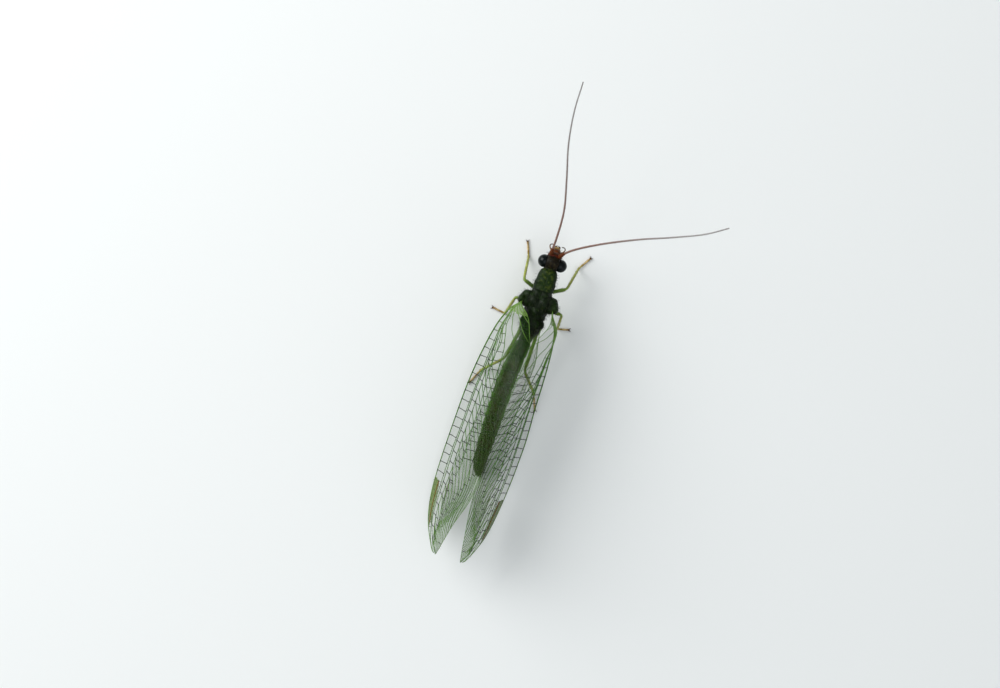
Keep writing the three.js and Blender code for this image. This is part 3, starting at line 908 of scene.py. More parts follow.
HEAD_LUMPS = (
    Lump((0.0, 0.0, 0.04), (0.36, 0.38, 0.4)),
    Lump((0.16, 0.0, 0.04), (0.24, 0.34, 0.36), paired=True),
    Lump((0.0, 0.24, 0.0), (0.33, 0.16, 0.32)),
    Lump((0.29, 0.03, -0.02), (0.11, 0.335, 0.335), paired=True),
    Lump((0.0, -0.25, -0.02), (0.3, 0.26, 0.32), pitch=30),
    Lump((0.2, -0.33, 0.12), (0.125, 0.09, 0.125), pitch=-35, paired=True),
    Lump((0.2, -0.27, -0.26), (0.16, 0.26, 0.24), pitch=30, paired=True),
    Lump((0.0, -0.47, -0.25), (0.23, 0.2, 0.24), pitch=38),
    Lump((0.0, -0.62, -0.42), (0.17, 0.15, 0.14), pitch=38),
    Lump((0.0, -0.72, -0.52), (0.14, 0.09, 0.1), pitch=38),
    Lump((0.13, -0.55, -0.5), (0.09, 0.15, 0.12), pitch=30, paired=True),
    Lump((0.0, -0.35, -0.42), (0.24, 0.36, 0.16), pitch=30),
    Lump((0.0, 0.36, -0.02), (0.26, 0.24, 0.27)),
)

# [y, z, half width, half height] of the thorax's trunk
THORAX_ROWS = (
    (-1.62, 2.2, 0.3, 0.26),
    (-1.5, 2.23, 0.41, 0.33),
    (-1.15, 2.24, 0.47, 0.38),
    (-0.85, 2.23, 0.5, 0.41),
    (-0.6, 2.2, 0.5, 0.44),
    (-0.45, 2.18, 0.5, 0.48),
    (-0.1, 2.16, 0.56, 0.58),
    (0.35, 2.14, 0.53, 0.6),
    (0.72, 2.12, 0.44, 0.52),
    (0.9, 2.11, 0.44, 0.5),
    (1.15, 2.09, 0.47, 0.54),
    (1.45, 2.05, 0.42, 0.48),
    (1.75, 1.98, 0.33, 0.4),
)

THORAX_LUMPS = (
    Lump((0.2, -1.2, 2.28), (0.28, 0.3, 0.31), paired=True),
    Lump((0.24, -0.86, 2.28), (0.28, 0.32, 0.34), paired=True),
    Lump((0.2, -0.36, 2.36), (0.24, 0.24, 0.36), paired=True),
    Lump((0.25, 0.02, 2.4), (0.33, 0.4, 0.44), yaw=-10, paired=True),
    Lump((0.0, 0.52, 2.4), (0.24, 0.26, 0.38), pitch=-6),
    Lump((0.24, 0.42, 2.32), (0.26, 0.3, 0.36), yaw=18, paired=True),
    Lump((0.52, -0.13, 2.32), (0.36, 0.24, 0.36), yaw=-20, paired=True),
    Lump((0.72, -0.06, 2.36), (0.22, 0.2, 0.24), yaw=-20, paired=True),
    Lump((0.84, 0.12, 2.46), (0.17, 0.24, 0.32), yaw=-6, paired=True),
    Lump((0.6, 0.14, 2.34), (0.3, 0.3, 0.34), yaw=-30, paired=True),
    Lump((0.3, 0.1, 2.0), (0.3, 0.56, 0.5), paired=True),
    Lump((0.36, 0.4, 1.95), (0.22, 0.3, 0.4), paired=True),
    Lump((0.32, 0.74, 2.02), (0.22, 0.34, 0.38), paired=True),
    Lump((0.0, 0.15, 1.7), (0.32, 0.56, 0.26)),
    Lump((0.2, 1.1, 2.32), (0.27, 0.3, 0.34), yaw=-12, paired=True),
    Lump((0.0, 1.42, 2.28), (0.2, 0.22, 0.28), pitch=-10),
    Lump((0.36, 1.04, 2.26), (0.24, 0.28, 0.28), yaw=-20, paired=True),
    Lump((0.28, 1.14, 1.96), (0.28, 0.44, 0.44), paired=True),
    Lump((0.0, 1.15, 1.66), (0.3, 0.42, 0.24)),
)


def thorax_trunk() -> Object:
    """Draw out the thorax's trunk, on which the lumps lie."""
    at = through(THORAX_ROWS)
    rings = []
    for y in evenly(THORAX_ROWS[0][0], THORAX_ROWS[-1][0], 30):
        z, width, height = at(y)
        rings.append((Vector((THORAX_X, y, z)), width, height))
    return ringed_loft("thorax_form", rings)


@dataclass
class BodySkin:
    """The skin of head, thorax and abdomen, blended from rounded forms and then engraved."""

    abdomen: Abdomen = field(default_factory=Abdomen)
    voxel: float = 0.024
    smoothing: int = 20
    groove: float = 0.024  # how deep a suture is
    ring_depth: float = 0.028
    flank_depth: float = 0.03
    seat_depth: float = 0.03

    grooves: tuple[Stroke, ...] = (
        Stroke(((-0.6, -0.74), (0.0, -0.82), (0.6, -0.74)), 0.035),
        Stroke(((-0.5, -1.28), (0.0, -1.24), (0.5, -1.28)), 0.03),
        Stroke(((0.0, -1.5), (0.0, -0.6)), 0.025),
        Stroke(((-0.8, -0.5), (0.0, -0.54), (0.8, -0.5)), 0.04),
        Stroke(((0.0, -0.52), (0.0, 0.3)), 0.022),
        Stroke(((0.0, -0.1), (0.22, -0.16), (0.42, -0.36)), 0.022, paired=True),
        Stroke(((0.0, 0.3), (0.2, 0.36), (0.26, 0.62)), 0.028, paired=True),
        Stroke(((0.52, -0.3), (0.5, 0.1), (0.42, 0.5)), 0.03, paired=True),
        Stroke(((-0.6, 0.82), (0.0, 0.86), (0.6, 0.82)), 0.04),
        Stroke(((0.0, 1.28), (0.18, 1.24), (0.22, 1.5)), 0.022, paired=True),
        Stroke(((-0.4, 1.62), (0.4, 1.62)), 0.04),
        Stroke(((-0.5, 1.6), (-0.55, 2.15), (-0.5, 2.6)), 0.035, from_side=True),
        Stroke(((0.82, 1.5), (0.84, 2.2), (0.8, 2.7)), 0.035, from_side=True),
        Stroke(((0.28, 1.4), (0.2, 2.0), (0.3, 2.4)), 0.028, from_side=True),
        Stroke(((1.24, 1.5), (1.2, 2.0), (1.28, 2.3)), 0.026, from_side=True),
    )

    def build(self) -> Object:
        """Blend the forms into one closed skin and engrave it, keeping it above the floor."""
        forms = [self.abdomen.build(), thorax_trunk()]
        for lump in HEAD_LUMPS:
            forms += lump.build(HEAD)
        for lump in THORAX_LUMPS:
            forms += lump.build((THORAX_X, 0.0, 0.0))
        skin = joined("body_skin", forms)
        apply_modifier(skin, "REMESH", mode="VOXEL", voxel_size=self.voxel, use_smooth_shade=True)
        apply_modifier(skin, "SMOOTH", factor=0.5, iterations=self.smoothing)
        self.engrave(skin)
        return skin

    def engrave(self, skin: Object) -> None:
        """Sink the sutures, the flank folds and the soft skin between the rings."""
        places, normals = places_of(skin), normals_of(skin)
        from_middle = places - np.array([THORAX_X, 0, 0])
        depth = np.zeros(len(places))
        for line in self.grooves:
            depth = np.maximum(depth, line.strength(from_middle, normals) * self.groove)
        depth += self.ring_fold(places) * self.ring_depth
        depth += self.flank_fold(places, normals) * self.flank_depth
        depth += self.eye_seat(places) * self.seat_depth
        move_points(skin, places - normals * depth[:, None])

    def ring_fold(self, places: np.ndarray) -> np.ndarray:
        """How far each point lies in the soft skin behind a ring's rear edge."""
        y = places[:, 1]
        ring = self.abdomen.ring_share(y)
        return bell(ring - np.round(ring), 0.055) * band((1.75, 1.95), (8.3, 8.4), y)

    def flank_fold(self, places: np.ndarray, normals: np.ndarray) -> np.ndarray:
        """How far each point lies in the long fold between the back's and the belly's plates."""
        y, z = places[:, 1], places[:, 2]
        near = bell(z - (self.abdomen.middle(y)[1] - 0.06), 0.045)
        return near * band((1.8, 2.2), (8.0, 8.4), y) * smoothstep(0.5, 0.8, np.abs(normals[:, 0]))

    def eye_seat(self, places: np.ndarray) -> np.ndarray:
        """How far each point lies in the narrow seam round an eye."""
        seam = np.zeros(len(places))
        for side in Side:
            gap = np.linalg.norm(places - np.array(from_head(side, *EYE)), axis=1) - EYE_R
            seam = np.maximum(seam, bell(gap - 0.012, 0.02))
        return seam

    def dress(self, skin: Object) -> None:
        """Paint the markings and the painted shade in the folds between the rings, and give the skin its
        finish.
        """
        places, normals = places_of(skin), normals_of(skin)
        colours = BodyMarkings(self.abdomen).colours(places, normals)
        # painted shade: darker in the soft skin between the rings, where it sinks into folds
        colours *= (1 - 0.45 * self.ring_fold(places))[:, None]
        paint(skin, colours)
        dress(skin, Cuticle("living_cuticle_of_the_body").material())


@dataclass(frozen=True)
class BodyMarkings:
    """Where each colour of the body lies."""

    abdomen: Abdomen
    olive: str = "#120e04"
    tan: str = "#2a210c"
    amber: str = "#54290e"
    cream: str = "#94743e"
    red_brown: str = "#541408"
    # painted shade in a ring round each eye
    face_dark: str = "#160d06"
    leaf: str = "#162a04"
    leaf_edge: str = "#0b1e08"
    yellow_green: str = "#3c4814"
    dark_green: str = "#0e1a07"
    pale_side: str = "#34481c"
    back_green: str = "#1a300a"
    back_olive: str = "#302c12"
    back_brown: str = "#3a1e10"
    flank_green: str = "#4e7c1e"
    tail_green: str = "#424e2a"

    def colours(self, places: np.ndarray, normals: np.ndarray) -> np.ndarray:
        """The colour of each point.

        Args:
            places: The points.
            normals: The directions that they face.

        Returns:
            Linear colours, one row each.
        """
        made = coloured(len(places), self.dark_green)
        self.lay_thorax(made, places)
        self.lay_head(made, places)
        self.lay_abdomen(made, places, normals)
        return made

    def lay_head(self, made: np.ndarray, places: np.ndarray) -> None:
        """An amber face with a cream lip, red-brown bands at the antennae, an olive crown, and painted shade
        round the eyes.
        """
        on_head = 1 - smoothstep(-1.72, -1.52, places[:, 1] + 0.05 * mottle(places, 0.12))
        lay(made, self.olive, on_head)
        lay(made, self.tan, on_head * smoothstep(0.0, 0.4, mottle(places, 0.14)) * 0.6)
        face = from_head(Side.LEFT, 0.0, -0.4, -0.2)
        lay(made, self.amber, on_head * spot(places, face, (0.42, 0.32, 0.42)))
        lip = from_head(Side.LEFT, 0.0, -0.74, -0.5)
        lay(made, self.cream, on_head * spot(places, lip, (0.2, 0.16, 0.2)))
        for side in Side:
            root = from_head(side, 0.13, -0.34, 0.16)
            lay(made, self.red_brown, on_head * spot(places, root, (0.16, 0.08, 0.14)) * 0.85)
            cheek = from_head(side, 0.34, -0.3, -0.1)
            lay(made, self.red_brown, on_head * spot(places, cheek, (0.14, 0.09, 0.26)) * 0.9)
            near = np.linalg.norm(places - np.array(from_head(side, *EYE)), axis=1)
            # painted shade: a dark ring where the head meets each eye
            lay(made, self.face_dark, on_head * (1 - smoothstep(0.34, 0.42, near)) * 0.7)

    def lay_thorax(self, made: np.ndarray, places: np.ndarray) -> None:
        """A leaf-green pronotum with yellow-green freckles, a darker green behind it, and painted light in
        green on the shoulders.
        """
        x, y, z = np.abs(places[:, 0] - THORAX_X), places[:, 1], places[:, 2]
        pronotum = band((-1.66, -1.6), (-0.6, -0.5), y)
        lay(made, self.leaf, pronotum)
        lay(made, self.leaf_edge, pronotum * smoothstep(0.28, 0.48, x))
        freckles = smoothstep(0.02, 0.3, mottle(places, 0.12))
        lay(made, self.yellow_green, pronotum * (1 - smoothstep(0.2, 0.38, x)) * freckles * 0.75)
        behind = band((-0.5, -0.3), (1.5, 1.7), y)
        lay(made, self.leaf, behind * smoothstep(0.05, 0.4, mottle(places, 0.2)) * 0.6)
        # painted light: lighter green on both shoulders, where light catches them
        painted_light_on_shoulders = smoothstep(0.5, 0.75, x) * band((-0.5, -0.4), (0.6, 0.8), y)
        lay(made, self.leaf, painted_light_on_shoulders * 0.7)
        low = (1 - smoothstep(1.75, 2.1, z)) * band((-1.6, -1.5), (1.5, 1.8), y)
        lay(made, self.pale_side, low * 0.8)

    def lay_abdomen(self, made: np.ndarray, places: np.ndarray, normals: np.ndarray) -> None:
        """Green rings with a broken brown stripe along the back and greener flanks."""
        x, y, z = places[:, 0], places[:, 1], places[:, 2]
        on = smoothstep(1.5, 1.9, y)
        lay(made, self.back_green, on)
        lay(made, self.back_olive, on * smoothstep(2.8, 4.2, y) * 0.75)
        patches = smoothstep(0.0, 0.3, mottle(places, 0.3))
        browner = smoothstep(2.6, 3.4, y)
        lay(made, self.back_brown, on * patches * browner * 0.45)
        across = x - self.abdomen.middle(y)[0]
        ring = self.abdomen.ring_share(y)
        in_ring = ring - np.floor(ring)
        beat = 0.5 + 0.5 * np.cos(2 * math.pi * (in_ring - 0.45))
        stripe = bell(across - 0.03, 0.12) * smoothstep(0.4, 0.9, normals[:, 2])
        lay(made, self.back_brown, on * stripe * beat * browner * 0.9)
        for side in Side:
            dots = bell(across - side.value * 0.17, 0.05) * bell(in_ring - 0.55, 0.16)
            lay(made, self.back_brown, on * dots * 0.5)
        flank = smoothstep(0.24, 0.36, np.abs(across)) * smoothstep(-0.5, 0.2, normals[:, 2])
        lay(made, self.flank_green, on * flank * 0.7)
        fold = bell(z - self.abdomen.middle(y)[1] + 0.06, 0.09)
        lay(made, self.pale_side, on * fold * 0.7)
        belly = 1 - smoothstep(-0.5, -0.1, normals[:, 2])
        lay(made, self.pale_side, on * belly * 0.8)
        lay(made, self.tail_green, smoothstep(7.4, 8.4, y) * 0.9)


@dataclass
class BodyHair:
    """Pale and dark hairs of the body, longest on head and thorax and finest on the abdomen."""

    skin: Object
    roots: int = 9000  # points of the skin that are tried
    lowest: float = 0.08
    dark_share: float = 0.2
    pale_share: float = 0.2
    abdomen_share: float = 0.7

    def build(self) -> tuple[Object, Object]:
        """Grow the two coats.

        Returns:
            The pale, fine coat and the dark, longer one.
        """
        places, normals = places_of(self.skin), normals_of(self.skin)
        pale = Bristles(seed=11, thickness=0.006, bend=0.3)
        dark = Bristles(seed=12, thickness=0.01, bend=0.2)
        order = list(range(len(places)))
        pale.rng.shuffle(order)
        back = Vector((0.0, 1.0, 0.0))
        for i in order[: self.roots]:
            x, y, z = places[i]
            root, normal = Vector((x, y, z)), Vector(normals[i])
            if z < self.lowest or self.in_eye(places[i]):
                continue
            round_body = 0.5 + math.atan2(x - THORAX_X, z - 1.5) / (2 * math.pi)
            patch = (wrap01((y + 2.8) / 11.7), wrap01(round_body))
            if y < -1.66 or -1.6 < y < 1.6:
                if pale.rng.random() < self.dark_share:
                    dark.add(root, normal * 0.9 + back * 0.2, back, 0.17, patch)
                elif pale.rng.random() < self.pale_share:
                    pale.add(root, normal * 0.7 + back * 0.4, back, 0.1, patch)
            elif pale.rng.random() < self.abdomen_share:
                pale.add(root, normal * 0.35 + back * 0.8, back, 0.09, patch)
        return pale.build("body_hair_pale"), dark.build("body_hair_dark")

    @staticmethod
    def in_eye(place: np.ndarray) -> bool:
        """True close to an eye, where no hair grows."""
        gaps = [np.linalg.norm(place - np.array(from_head(side, *EYE))) for side in Side]
        return min(gaps) < EYE_R + 0.06


HEXAGON = 1.155  # the square of a hexagon's spacing over its area


@dataclass(frozen=True)
class CompoundEye:
    """A compound eye: a ball of two and a half thousand domed lenses."""

    side: Side
    lenses: int = 5  # subdivisions of the ball whose points are the lenses' middles
    facets: int = 6
    dome: float = 0.006
    rim: float = 0.58  # of a dome from its middle, as a share of the lenses' spacing

    @property
    def middle(self) -> Vector:
        """The ball's middle."""
        return Vector(HEAD) + Vector((self.side.value * EYE[0], EYE[1], EYE[2]))

    def ball(self, subdivisions: int) -> Object:
        """Add a plain ball at the eye's place."""
        ico_sphere = bpy.ops.mesh.primitive_ico_sphere_add
        return primitive(ico_sphere, subdivisions=subdivisions, radius=EYE_R, location=self.middle)

    def build(self) -> Object:
        """Add the ball and raise a dome round each lens's middle."""
        coarse = self.ball(self.lenses)
        count = len(coarse.data.vertices)
        tree = tree_of(corner.co for corner in coarse.data.vertices)
        bpy.data.objects.remove(coarse)
        eye = self.ball(self.facets)
        eye.name = f"eye_lenses_{self.side.word}"
        spacing = EYE_R * math.sqrt(4 * math.pi * HEXAGON / count)
        for corner in eye.data.vertices:
            _, _, distance = tree.find(corner.co)
            hollow = min(1.0, distance / (spacing * self.rim)) ** 2
            corner.co = corner.co - (corner.co - self.middle).normalized() * self.dome * hollow
        return eye


# Antennae, palps, legs and claws


@dataclass(frozen=True)
class Antenna:
    """An antenna: a stout scape, a short pedicel and a long thread of rings with whorls of hairs."""

    side: Side
    route: tuple[Point, ...]
    rings: int = 92
    thick: float = 0.056
    thin: float = 0.028
    pinch: float = 0.2  # how much narrower a ring's ends are, as a share
    scape_length: float = 0.3
    pedicel_length: float = 0.14
    samples: int = 400  # points that the whole line is cut up from
    whorl: int = 5  # hairs in a whorl

    # [share of the length, radius]
    scape_rows: Rows = ((0, 0.06), (0.12, 0.092), (0.5, 0.102), (0.85, 0.094), (1, 0.066))
    pedicel_rows: Rows = ((0, 0.06), (0.3, 0.078), (0.8, 0.074), (1, 0.05))

    def build(self, coat: Bristles) -> Object:
        """Make the base and the thread, and grow the whorls.

        Args:
            coat: Where the hairs are gathered.

        Returns:
            The mesh of base and thread.
        """
        socket = Vector(HEAD) + Vector((self.side.value * 0.2, -0.34, 0.14))
        whole = spaced(curve_points([socket, *[Vector(p) for p in self.route]], 24), self.samples)
        total = length_of(whole)
        first = int(self.scape_length / total * self.samples)
        second = first + int(self.pedicel_length / total * self.samples)
        scape = profiled(spaced(whole[: first + 1], 14), self.scape_rows)
        pedicel = profiled(spaced(whole[first : second + 1], 9), self.pedicel_rows)
        thread = self.thread(whole[second:])
        base = tubes(f"antenna_base_{self.side.word}", [scape, pedicel], Roundness.TWELVE)
        flagellum = tubes(f"antenna_thread_{self.side.word}", [thread], Roundness.EIGHT)
        self.colour_base(base, scape.points[-1])
        self.colour_thread(flagellum, thread)
        self.whorls(coat, thread)
        hair_on_strand(coat, scape, 40, 0.07, 0.6)
        return joined(f"antenna_{self.side.word}", [base, flagellum])

    def thread(self, route: Sequence[Vector]) -> Strand:
        """The thread's rings, with three points to each."""
        points = spaced(route, self.rings * 3 + 1)
        radii = []
        for i, share in enumerate(evenly(0.0, 1.0, len(points))):
            radii.append(mix(self.thick, self.thin, share**0.8) * (1 - self.pinch if i % 3 == 0 else 1.0))
        return Strand(points, radii)

    def colour_base(self, base: Object, joint: Vector) -> None:
        """Amber, darker at the joint between scape and pedicel."""
        places = places_of(base)
        colours = coloured(len(places), "#5e3016")
        near = np.linalg.norm(places - np.array(tuple(joint)), axis=1)
        lay(colours, "#2c160c", 1 - smoothstep(0.02, 0.07, near))
        paint(base, colours)

    def colour_thread(self, thread: Object, strand: Strand) -> None:
        """Pinkish brown near the head, paler outwards, with a dark line at each ring's end."""
        tree = tree_of(strand.points)
        nearest = np.array([tree.find(corner.co)[1] for corner in thread.data.vertices])
        colours = coloured(len(nearest), "#8c6c60")
        lay(colours, "#a6a4a2", smoothstep(0.1, 0.8, nearest / len(strand.points)))
        lay(colours, "#645048", np.where(nearest % 3 == 0, 0.7, 0.0))
        paint(thread, colours)

    def whorls(self, coat: Bristles, strand: Strand) -> None:
        """Two whorls of short hairs to a ring, leaning to the tip."""
        last = len(strand.points) - 2
        for i in range(1, last):
            if i % 3 == 0:
                continue
            along = (strand.points[i + 1] - strand.points[i]).normalized()
            for k in range(self.whorl):
                turn = 2 * math.pi * (k + 0.5 * (i % 2)) / self.whorl + coat.rng.uniform(-0.2, 0.2)
                out = round_about(along, turn)
                root = strand.points[i] + out * strand.radii[i] * ROOT_SHARE
                patch = (wrap01(i / last), wrap01(k / self.whorl))
                coat.add(root, out * 0.45 + along * 0.75, along, 0.062, patch)


ANTENNA_ROUTES = {
    Side.LEFT: (
        (-0.03, -2.54, 2.6),
        (-0.04, -3.1, 3.0),
        (0.04, -4.4, 3.65),
        (0.42, -5.9, 4.4),
        (0.85, -7.4, 5.2),
        (1.09, -8.9, 6.0),
        (1.14, -10.33, 6.72),
    ),
    Side.RIGHT: (
        (-0.6, -2.5, 2.6),
        (-1.04, -2.86, 2.95),
        (-2.14, -3.5, 3.55),
        (-3.7, -4.24, 4.3),
        (-5.2, -4.84, 5.1),
        (-6.6, -5.46, 5.95),
        (-7.52, -6.05, 6.56),
    ),
}


@dataclass(frozen=True)
class Palps:
    """Two pairs of jointed feelers under the mouth, and the dark tips of the jaws."""

    radius: float = 0.034
    pieces: int = 6  # points to a joint

    # from the mouth, for the left side: (x, y, z)
    outer: tuple[Point, ...] = (
        (0.14, 0.2, 0.1),
        (0.3, 0.12, 0.06),
        (0.38, -0.03, 0.04),
        (0.32, -0.12, -0.02),
        (0.18, -0.12, -0.08),
    )
    inner: tuple[Point, ...] = ((0.06, 0.08, -0.06), (0.12, -0.02, -0.12), (0.1, -0.12, -0.2))
    jaw: tuple[Point, ...] = ((0.1, 0.02, -0.02), (0.08, -0.08, -0.09), (0.015, -0.13, -0.14))

    @staticmethod
    def at_mouth(side: Side, route: Sequence[Point]) -> list[Vector]:
        """A route's corners on one side of the mouth."""
        return [Vector(MOUTH) + Vector((side.value * x, y, z)) for x, y, z in route]

    def palp(self, side: Side, route: Sequence[Point], thick: float) -> Strand:
        """One feeler, narrower at its joints and towards its end."""
        line = curve_points(self.at_mouth(side, route), 8)
        points = spaced(line, (len(route) - 1) * self.pieces + 1)
        radii = []
        for i, slim in enumerate(evenly(1.1, 0.62, len(points))):
            radii.append(self.radius * thick * (0.72 if i % self.pieces == 0 else 1.0) * slim)
        radii[-1] *= 0.4
        return Strand(points, radii)

    def build(self) -> Object:
        """Make the palps and jaw tips as one piece."""
        strands = []
        for side in Side:
            strands += [self.palp(side, self.outer, 1.0), self.palp(side, self.inner, 0.85)]
            points = curve_points(self.at_mouth(side, self.jaw), 5)
            strands.append(Strand(points, evenly(0.05, 0.012, len(points))))
        made = tubes("palps", strands, Roundness.EIGHT)
        places = places_of(made)
        colours = coloured(len(places), "#241408")
        lay(colours, "#7a5526", smoothstep(-0.2, 0.15, places[:, 1] - MOUTH[1]))
        paint(made, colours)
        dress(made, Cuticle("thin_dark_cuticle_of_the_palps", blotch=0.2, glow=0.0).material())
        return made


@dataclass(frozen=True)
class Leg:
    """A leg: coxa, trochanter, femur, tibia and a foot of five joints with two claws and a pad."""

    name: str
    root: Point  # inside the body
    bend: Point  # where coxa and thigh meet
    knee: Point
    ankle: Point
    toe: Point
    coxa_radius: float = 0.15
    femur_radius: float = 0.088
    tibia_radius: float = 0.062
    foot_radius: float = 0.043
    joint_radii: tuple[float, ...] = (0.075, 0.056, 0.05)  # at hip, knee and ankle
    joint_share: float = 0.12  # of a stretch, that goes into the rounded joint at its end
    foot_joints: tuple[float, ...] = (0.0, 0.36, 0.54, 0.69, 0.81, 1.0)
    foot_bulge: tuple[Spot, ...] = ((0.06, 0.74), (0.3, 0.92), (0.7, 1.05), (0.92, 1.0), (1.0, 0.7))
    leg_hairs: float = 150  # to a millimetre
    foot_hairs: float = 110

    # from the root to the toe: [share of the line's points, colour]
    tints: tuple[tuple[float, str], ...] = (
        (0.0, "#4f6c28"),
        (0.2, "#62803a"),
        (0.4, "#86a04c"),
        (0.47, "#9aa04c"),
        (0.6, "#a8ae62"),
        (0.68, "#a8984c"),
        (0.715, "#8a6430"),
        (0.75, "#c4aa74"),
        (0.9, "#bca06a"),
        (1.0, "#8a6a3c"),
    )

    def strand(self) -> Strand:
        """The whole leg's middle line and radii."""
        stops = [Vector(p) for p in (self.root, self.bend, self.knee, self.ankle, self.toe)]
        at_stops = (self.coxa_radius, *self.joint_radii)
        mids = (self.coxa_radius * 0.92, self.femur_radius, self.tibia_radius)
        points, radii = [], []
        for k, (a, b, after) in enumerate(zip(stops, stops[1:], stops[2:])):
            first = 0.0 if k == 0 else self.joint_share
            for t in evenly(first, 1 - self.joint_share, 14):
                points.append(a.lerp(b, t))
                if t < 0.5:
                    radii.append(mix(mids[k], at_stops[k], 1 - float(smoothstep(0.0, 0.22, t))))
                else:
                    radii.append(mix(mids[k], at_stops[k + 1], float(smoothstep(0.72, 1.0, t))))
            p, q, r = a.lerp(b, 1 - self.joint_share), b, b.lerp(after, self.joint_share)
            for t in (0.25, 0.5, 0.75):
                points.append(p.lerp(q, t).lerp(q.lerp(r, t), t))
                radii.append(at_stops[k + 1])
        foot_start = stops[3].lerp(stops[4], self.joint_share)
        for start, end in zip(self.foot_joints, self.foot_joints[1:]):
            for share, size in self.foot_bulge:
                points.append(foot_start.lerp(stops[4], mix(start, end, share)))
                radii.append(self.foot_radius * size)
        return Strand(points, radii)

    def build(self, coat: Bristles, foot_coat: Bristles) -> Object:
        """Make the leg's skin and grow its hairs.

        Args:
            coat: The green leg's hairs.
            foot_coat: The feet's paler, browner hairs.

        Returns:
            The leg's mesh.
        """
        strand = self.strand()
        made = tubes(f"leg_{self.name}", [strand], Roundness.TWELVE)
        move_points(made, places_of(made))
        self.colour(made, strand)
        foot_start = len(strand.points) - len(self.foot_bulge) * (len(self.foot_joints) - 1)
        upper = Strand(strand.points[8:foot_start], strand.radii[8:foot_start])
        foot = Strand(strand.points[foot_start - 1 :], strand.radii[foot_start - 1 :])
        hair_on_strand(coat, upper, int(self.leg_hairs * upper.length), 0.075, 0.45)
        hair_on_strand(foot_coat, foot, int(self.foot_hairs * foot.length), 0.06, 0.5)
        return made

    def colour(self, made: Object, strand: Strand) -> None:
        """Green thigh, yellow-green shin with a brown end, and an amber foot with dark joints."""
        tree = tree_of(strand.points)
        at = through([(share, *linear(tint)) for share, tint in self.tints])
        count = len(strand.points)
        paint(made, np.array([at(tree.find(corner.co)[1] / count) for corner in made.data.vertices]))

    def claws(self) -> Object:
        """Two curved claws and the pad between them."""
        toe, ankle = Vector(self.toe), Vector(self.ankle)
        ahead = (toe - ankle).normalized()
        ahead.z = 0.0
        across = Vector((-ahead.y, ahead.x, 0.0))
        strands = []
        for side in Side:
            out = across * side.value
            corners = [
                toe - ahead * 0.03 + out * 0.012,
                toe + ahead * 0.045 + out * 0.05 + Vector((0, 0, 0.022)),
                toe + ahead * 0.1 + out * 0.075 + Vector((0, 0, -0.008)),
                toe + ahead * 0.12 + out * 0.07 - Vector((0, 0, 0.036)),
            ]
            points = curve_points(corners, 4)
            strands.append(Strand(points, evenly(0.02, 0.004, len(points))))
        pad = [toe - ahead * 0.02, toe + ahead * 0.03, toe + ahead * 0.075 - Vector((0, 0, 0.014))]
        strands.append(Strand(pad, [0.022, 0.03, 0.016]))
        made = tubes(f"claws_{self.name}", strands, Roundness.EIGHT)
        move_points(made, places_of(made))
        return made


ANKLE_Z, FOOT_Z = 0.07, 0.047

# inside the body, hip and knee, then ankle and toe
LEG_STOPS = {
    "fore_left": (
        ((0.12, -0.98, 1.95), (0.18, -0.57, 1.06), (0.8, -0.78, 1.6)),
        ((0.93, -1.88, ANKLE_Z), (1.2, -2.56, FOOT_Z)),
    ),
    "fore_right": (
        ((-0.56, -0.98, 1.95), (-0.62, -0.6, 1.06), (-1.29, -0.99, 1.6)),
        ((-1.52, -2.12, ANKLE_Z), (-1.9, -2.75, FOOT_Z)),
    ),
    "mid_left": (
        ((0.1, 0.16, 1.75), (0.22, 0.25, 0.96), (0.9, 0.13, 1.6)),
        ((1.14, 1.04, ANKLE_Z), (1.76, 0.96, FOOT_Z)),
    ),
    "mid_right": (
        ((-0.54, 0.16, 1.75), (-0.66, 0.25, 0.96), (-1.46, 0.26, 1.6)),
        ((-1.48, 0.95, ANKLE_Z), (-2.0, 0.82, FOOT_Z)),
    ),
    "hind_left": (
        ((0.1, 1.3, 1.72), (0.18, 1.5, 0.96), (0.46, 3.07, 0.92)),
        ((1.36, 3.98, ANKLE_Z), (1.68, 4.7, FOOT_Z)),
    ),
    "hind_right": (
        ((-0.54, 1.3, 1.72), (-0.62, 1.5, 0.96), (-0.63, 3.36, 0.92)),
        ((-1.38, 4.2, ANKLE_Z), (-1.7, 4.96, FOOT_Z)),
    ),
}


# Wings

WING_ROOT = 0.12
WING_TIP = 12.89
TIP_LENGTH = 3.3  # over which a forewing narrows to its tip
TIP_X, TIP_Z = 0.6, 1.8  # the line that a slope narrows to, from the middle line and the floor
# how far the roof bows outwards above its flared lower edge, as a share of its width
BOW = through(((0.32, 0.17), (1.8, 0.17), (4.4, 0.1), (6.5, 0.07), (12.92, 0.07)))
BOW_PEAK = 4 / 27  # the most that share * share * (1 - share) comes to

# [y, x] of the middle line under the wings, and of the ridge
ROOF_MIDDLE = through(((0, -0.22), (2.5, -0.1), (5, -0.02), (8, 0.03), (10.5, 0.06), (12.9, -0.03)))
RIDGE_FRONT = ((0.3, -0.3), (1.0, -0.5), (1.8, -0.48), (4, -0.34))
RIDGE_MIDDLE = through((*RIDGE_FRONT, (6.5, -0.22), (9.8, -0.16), (11.4, -0.06), (12.9, -0.03)))

# [y, distance from the middle line, height] of the lower, leading edge
LEADING_ROWS = (
    (0.32, 0.98, 2.24),
    (1.2, 1.2, 1.82),
    (2.4, 1.42, 1.46),
    (4.4, 1.58, 1.06),
    (6.5, 1.6, 0.76),
    (9.0, 1.56, 0.62),
    (11.0, 1.4, 0.74),
    (12.92, 1.1, 1.0),
)
LEADING_EDGE = through(LEADING_ROWS)

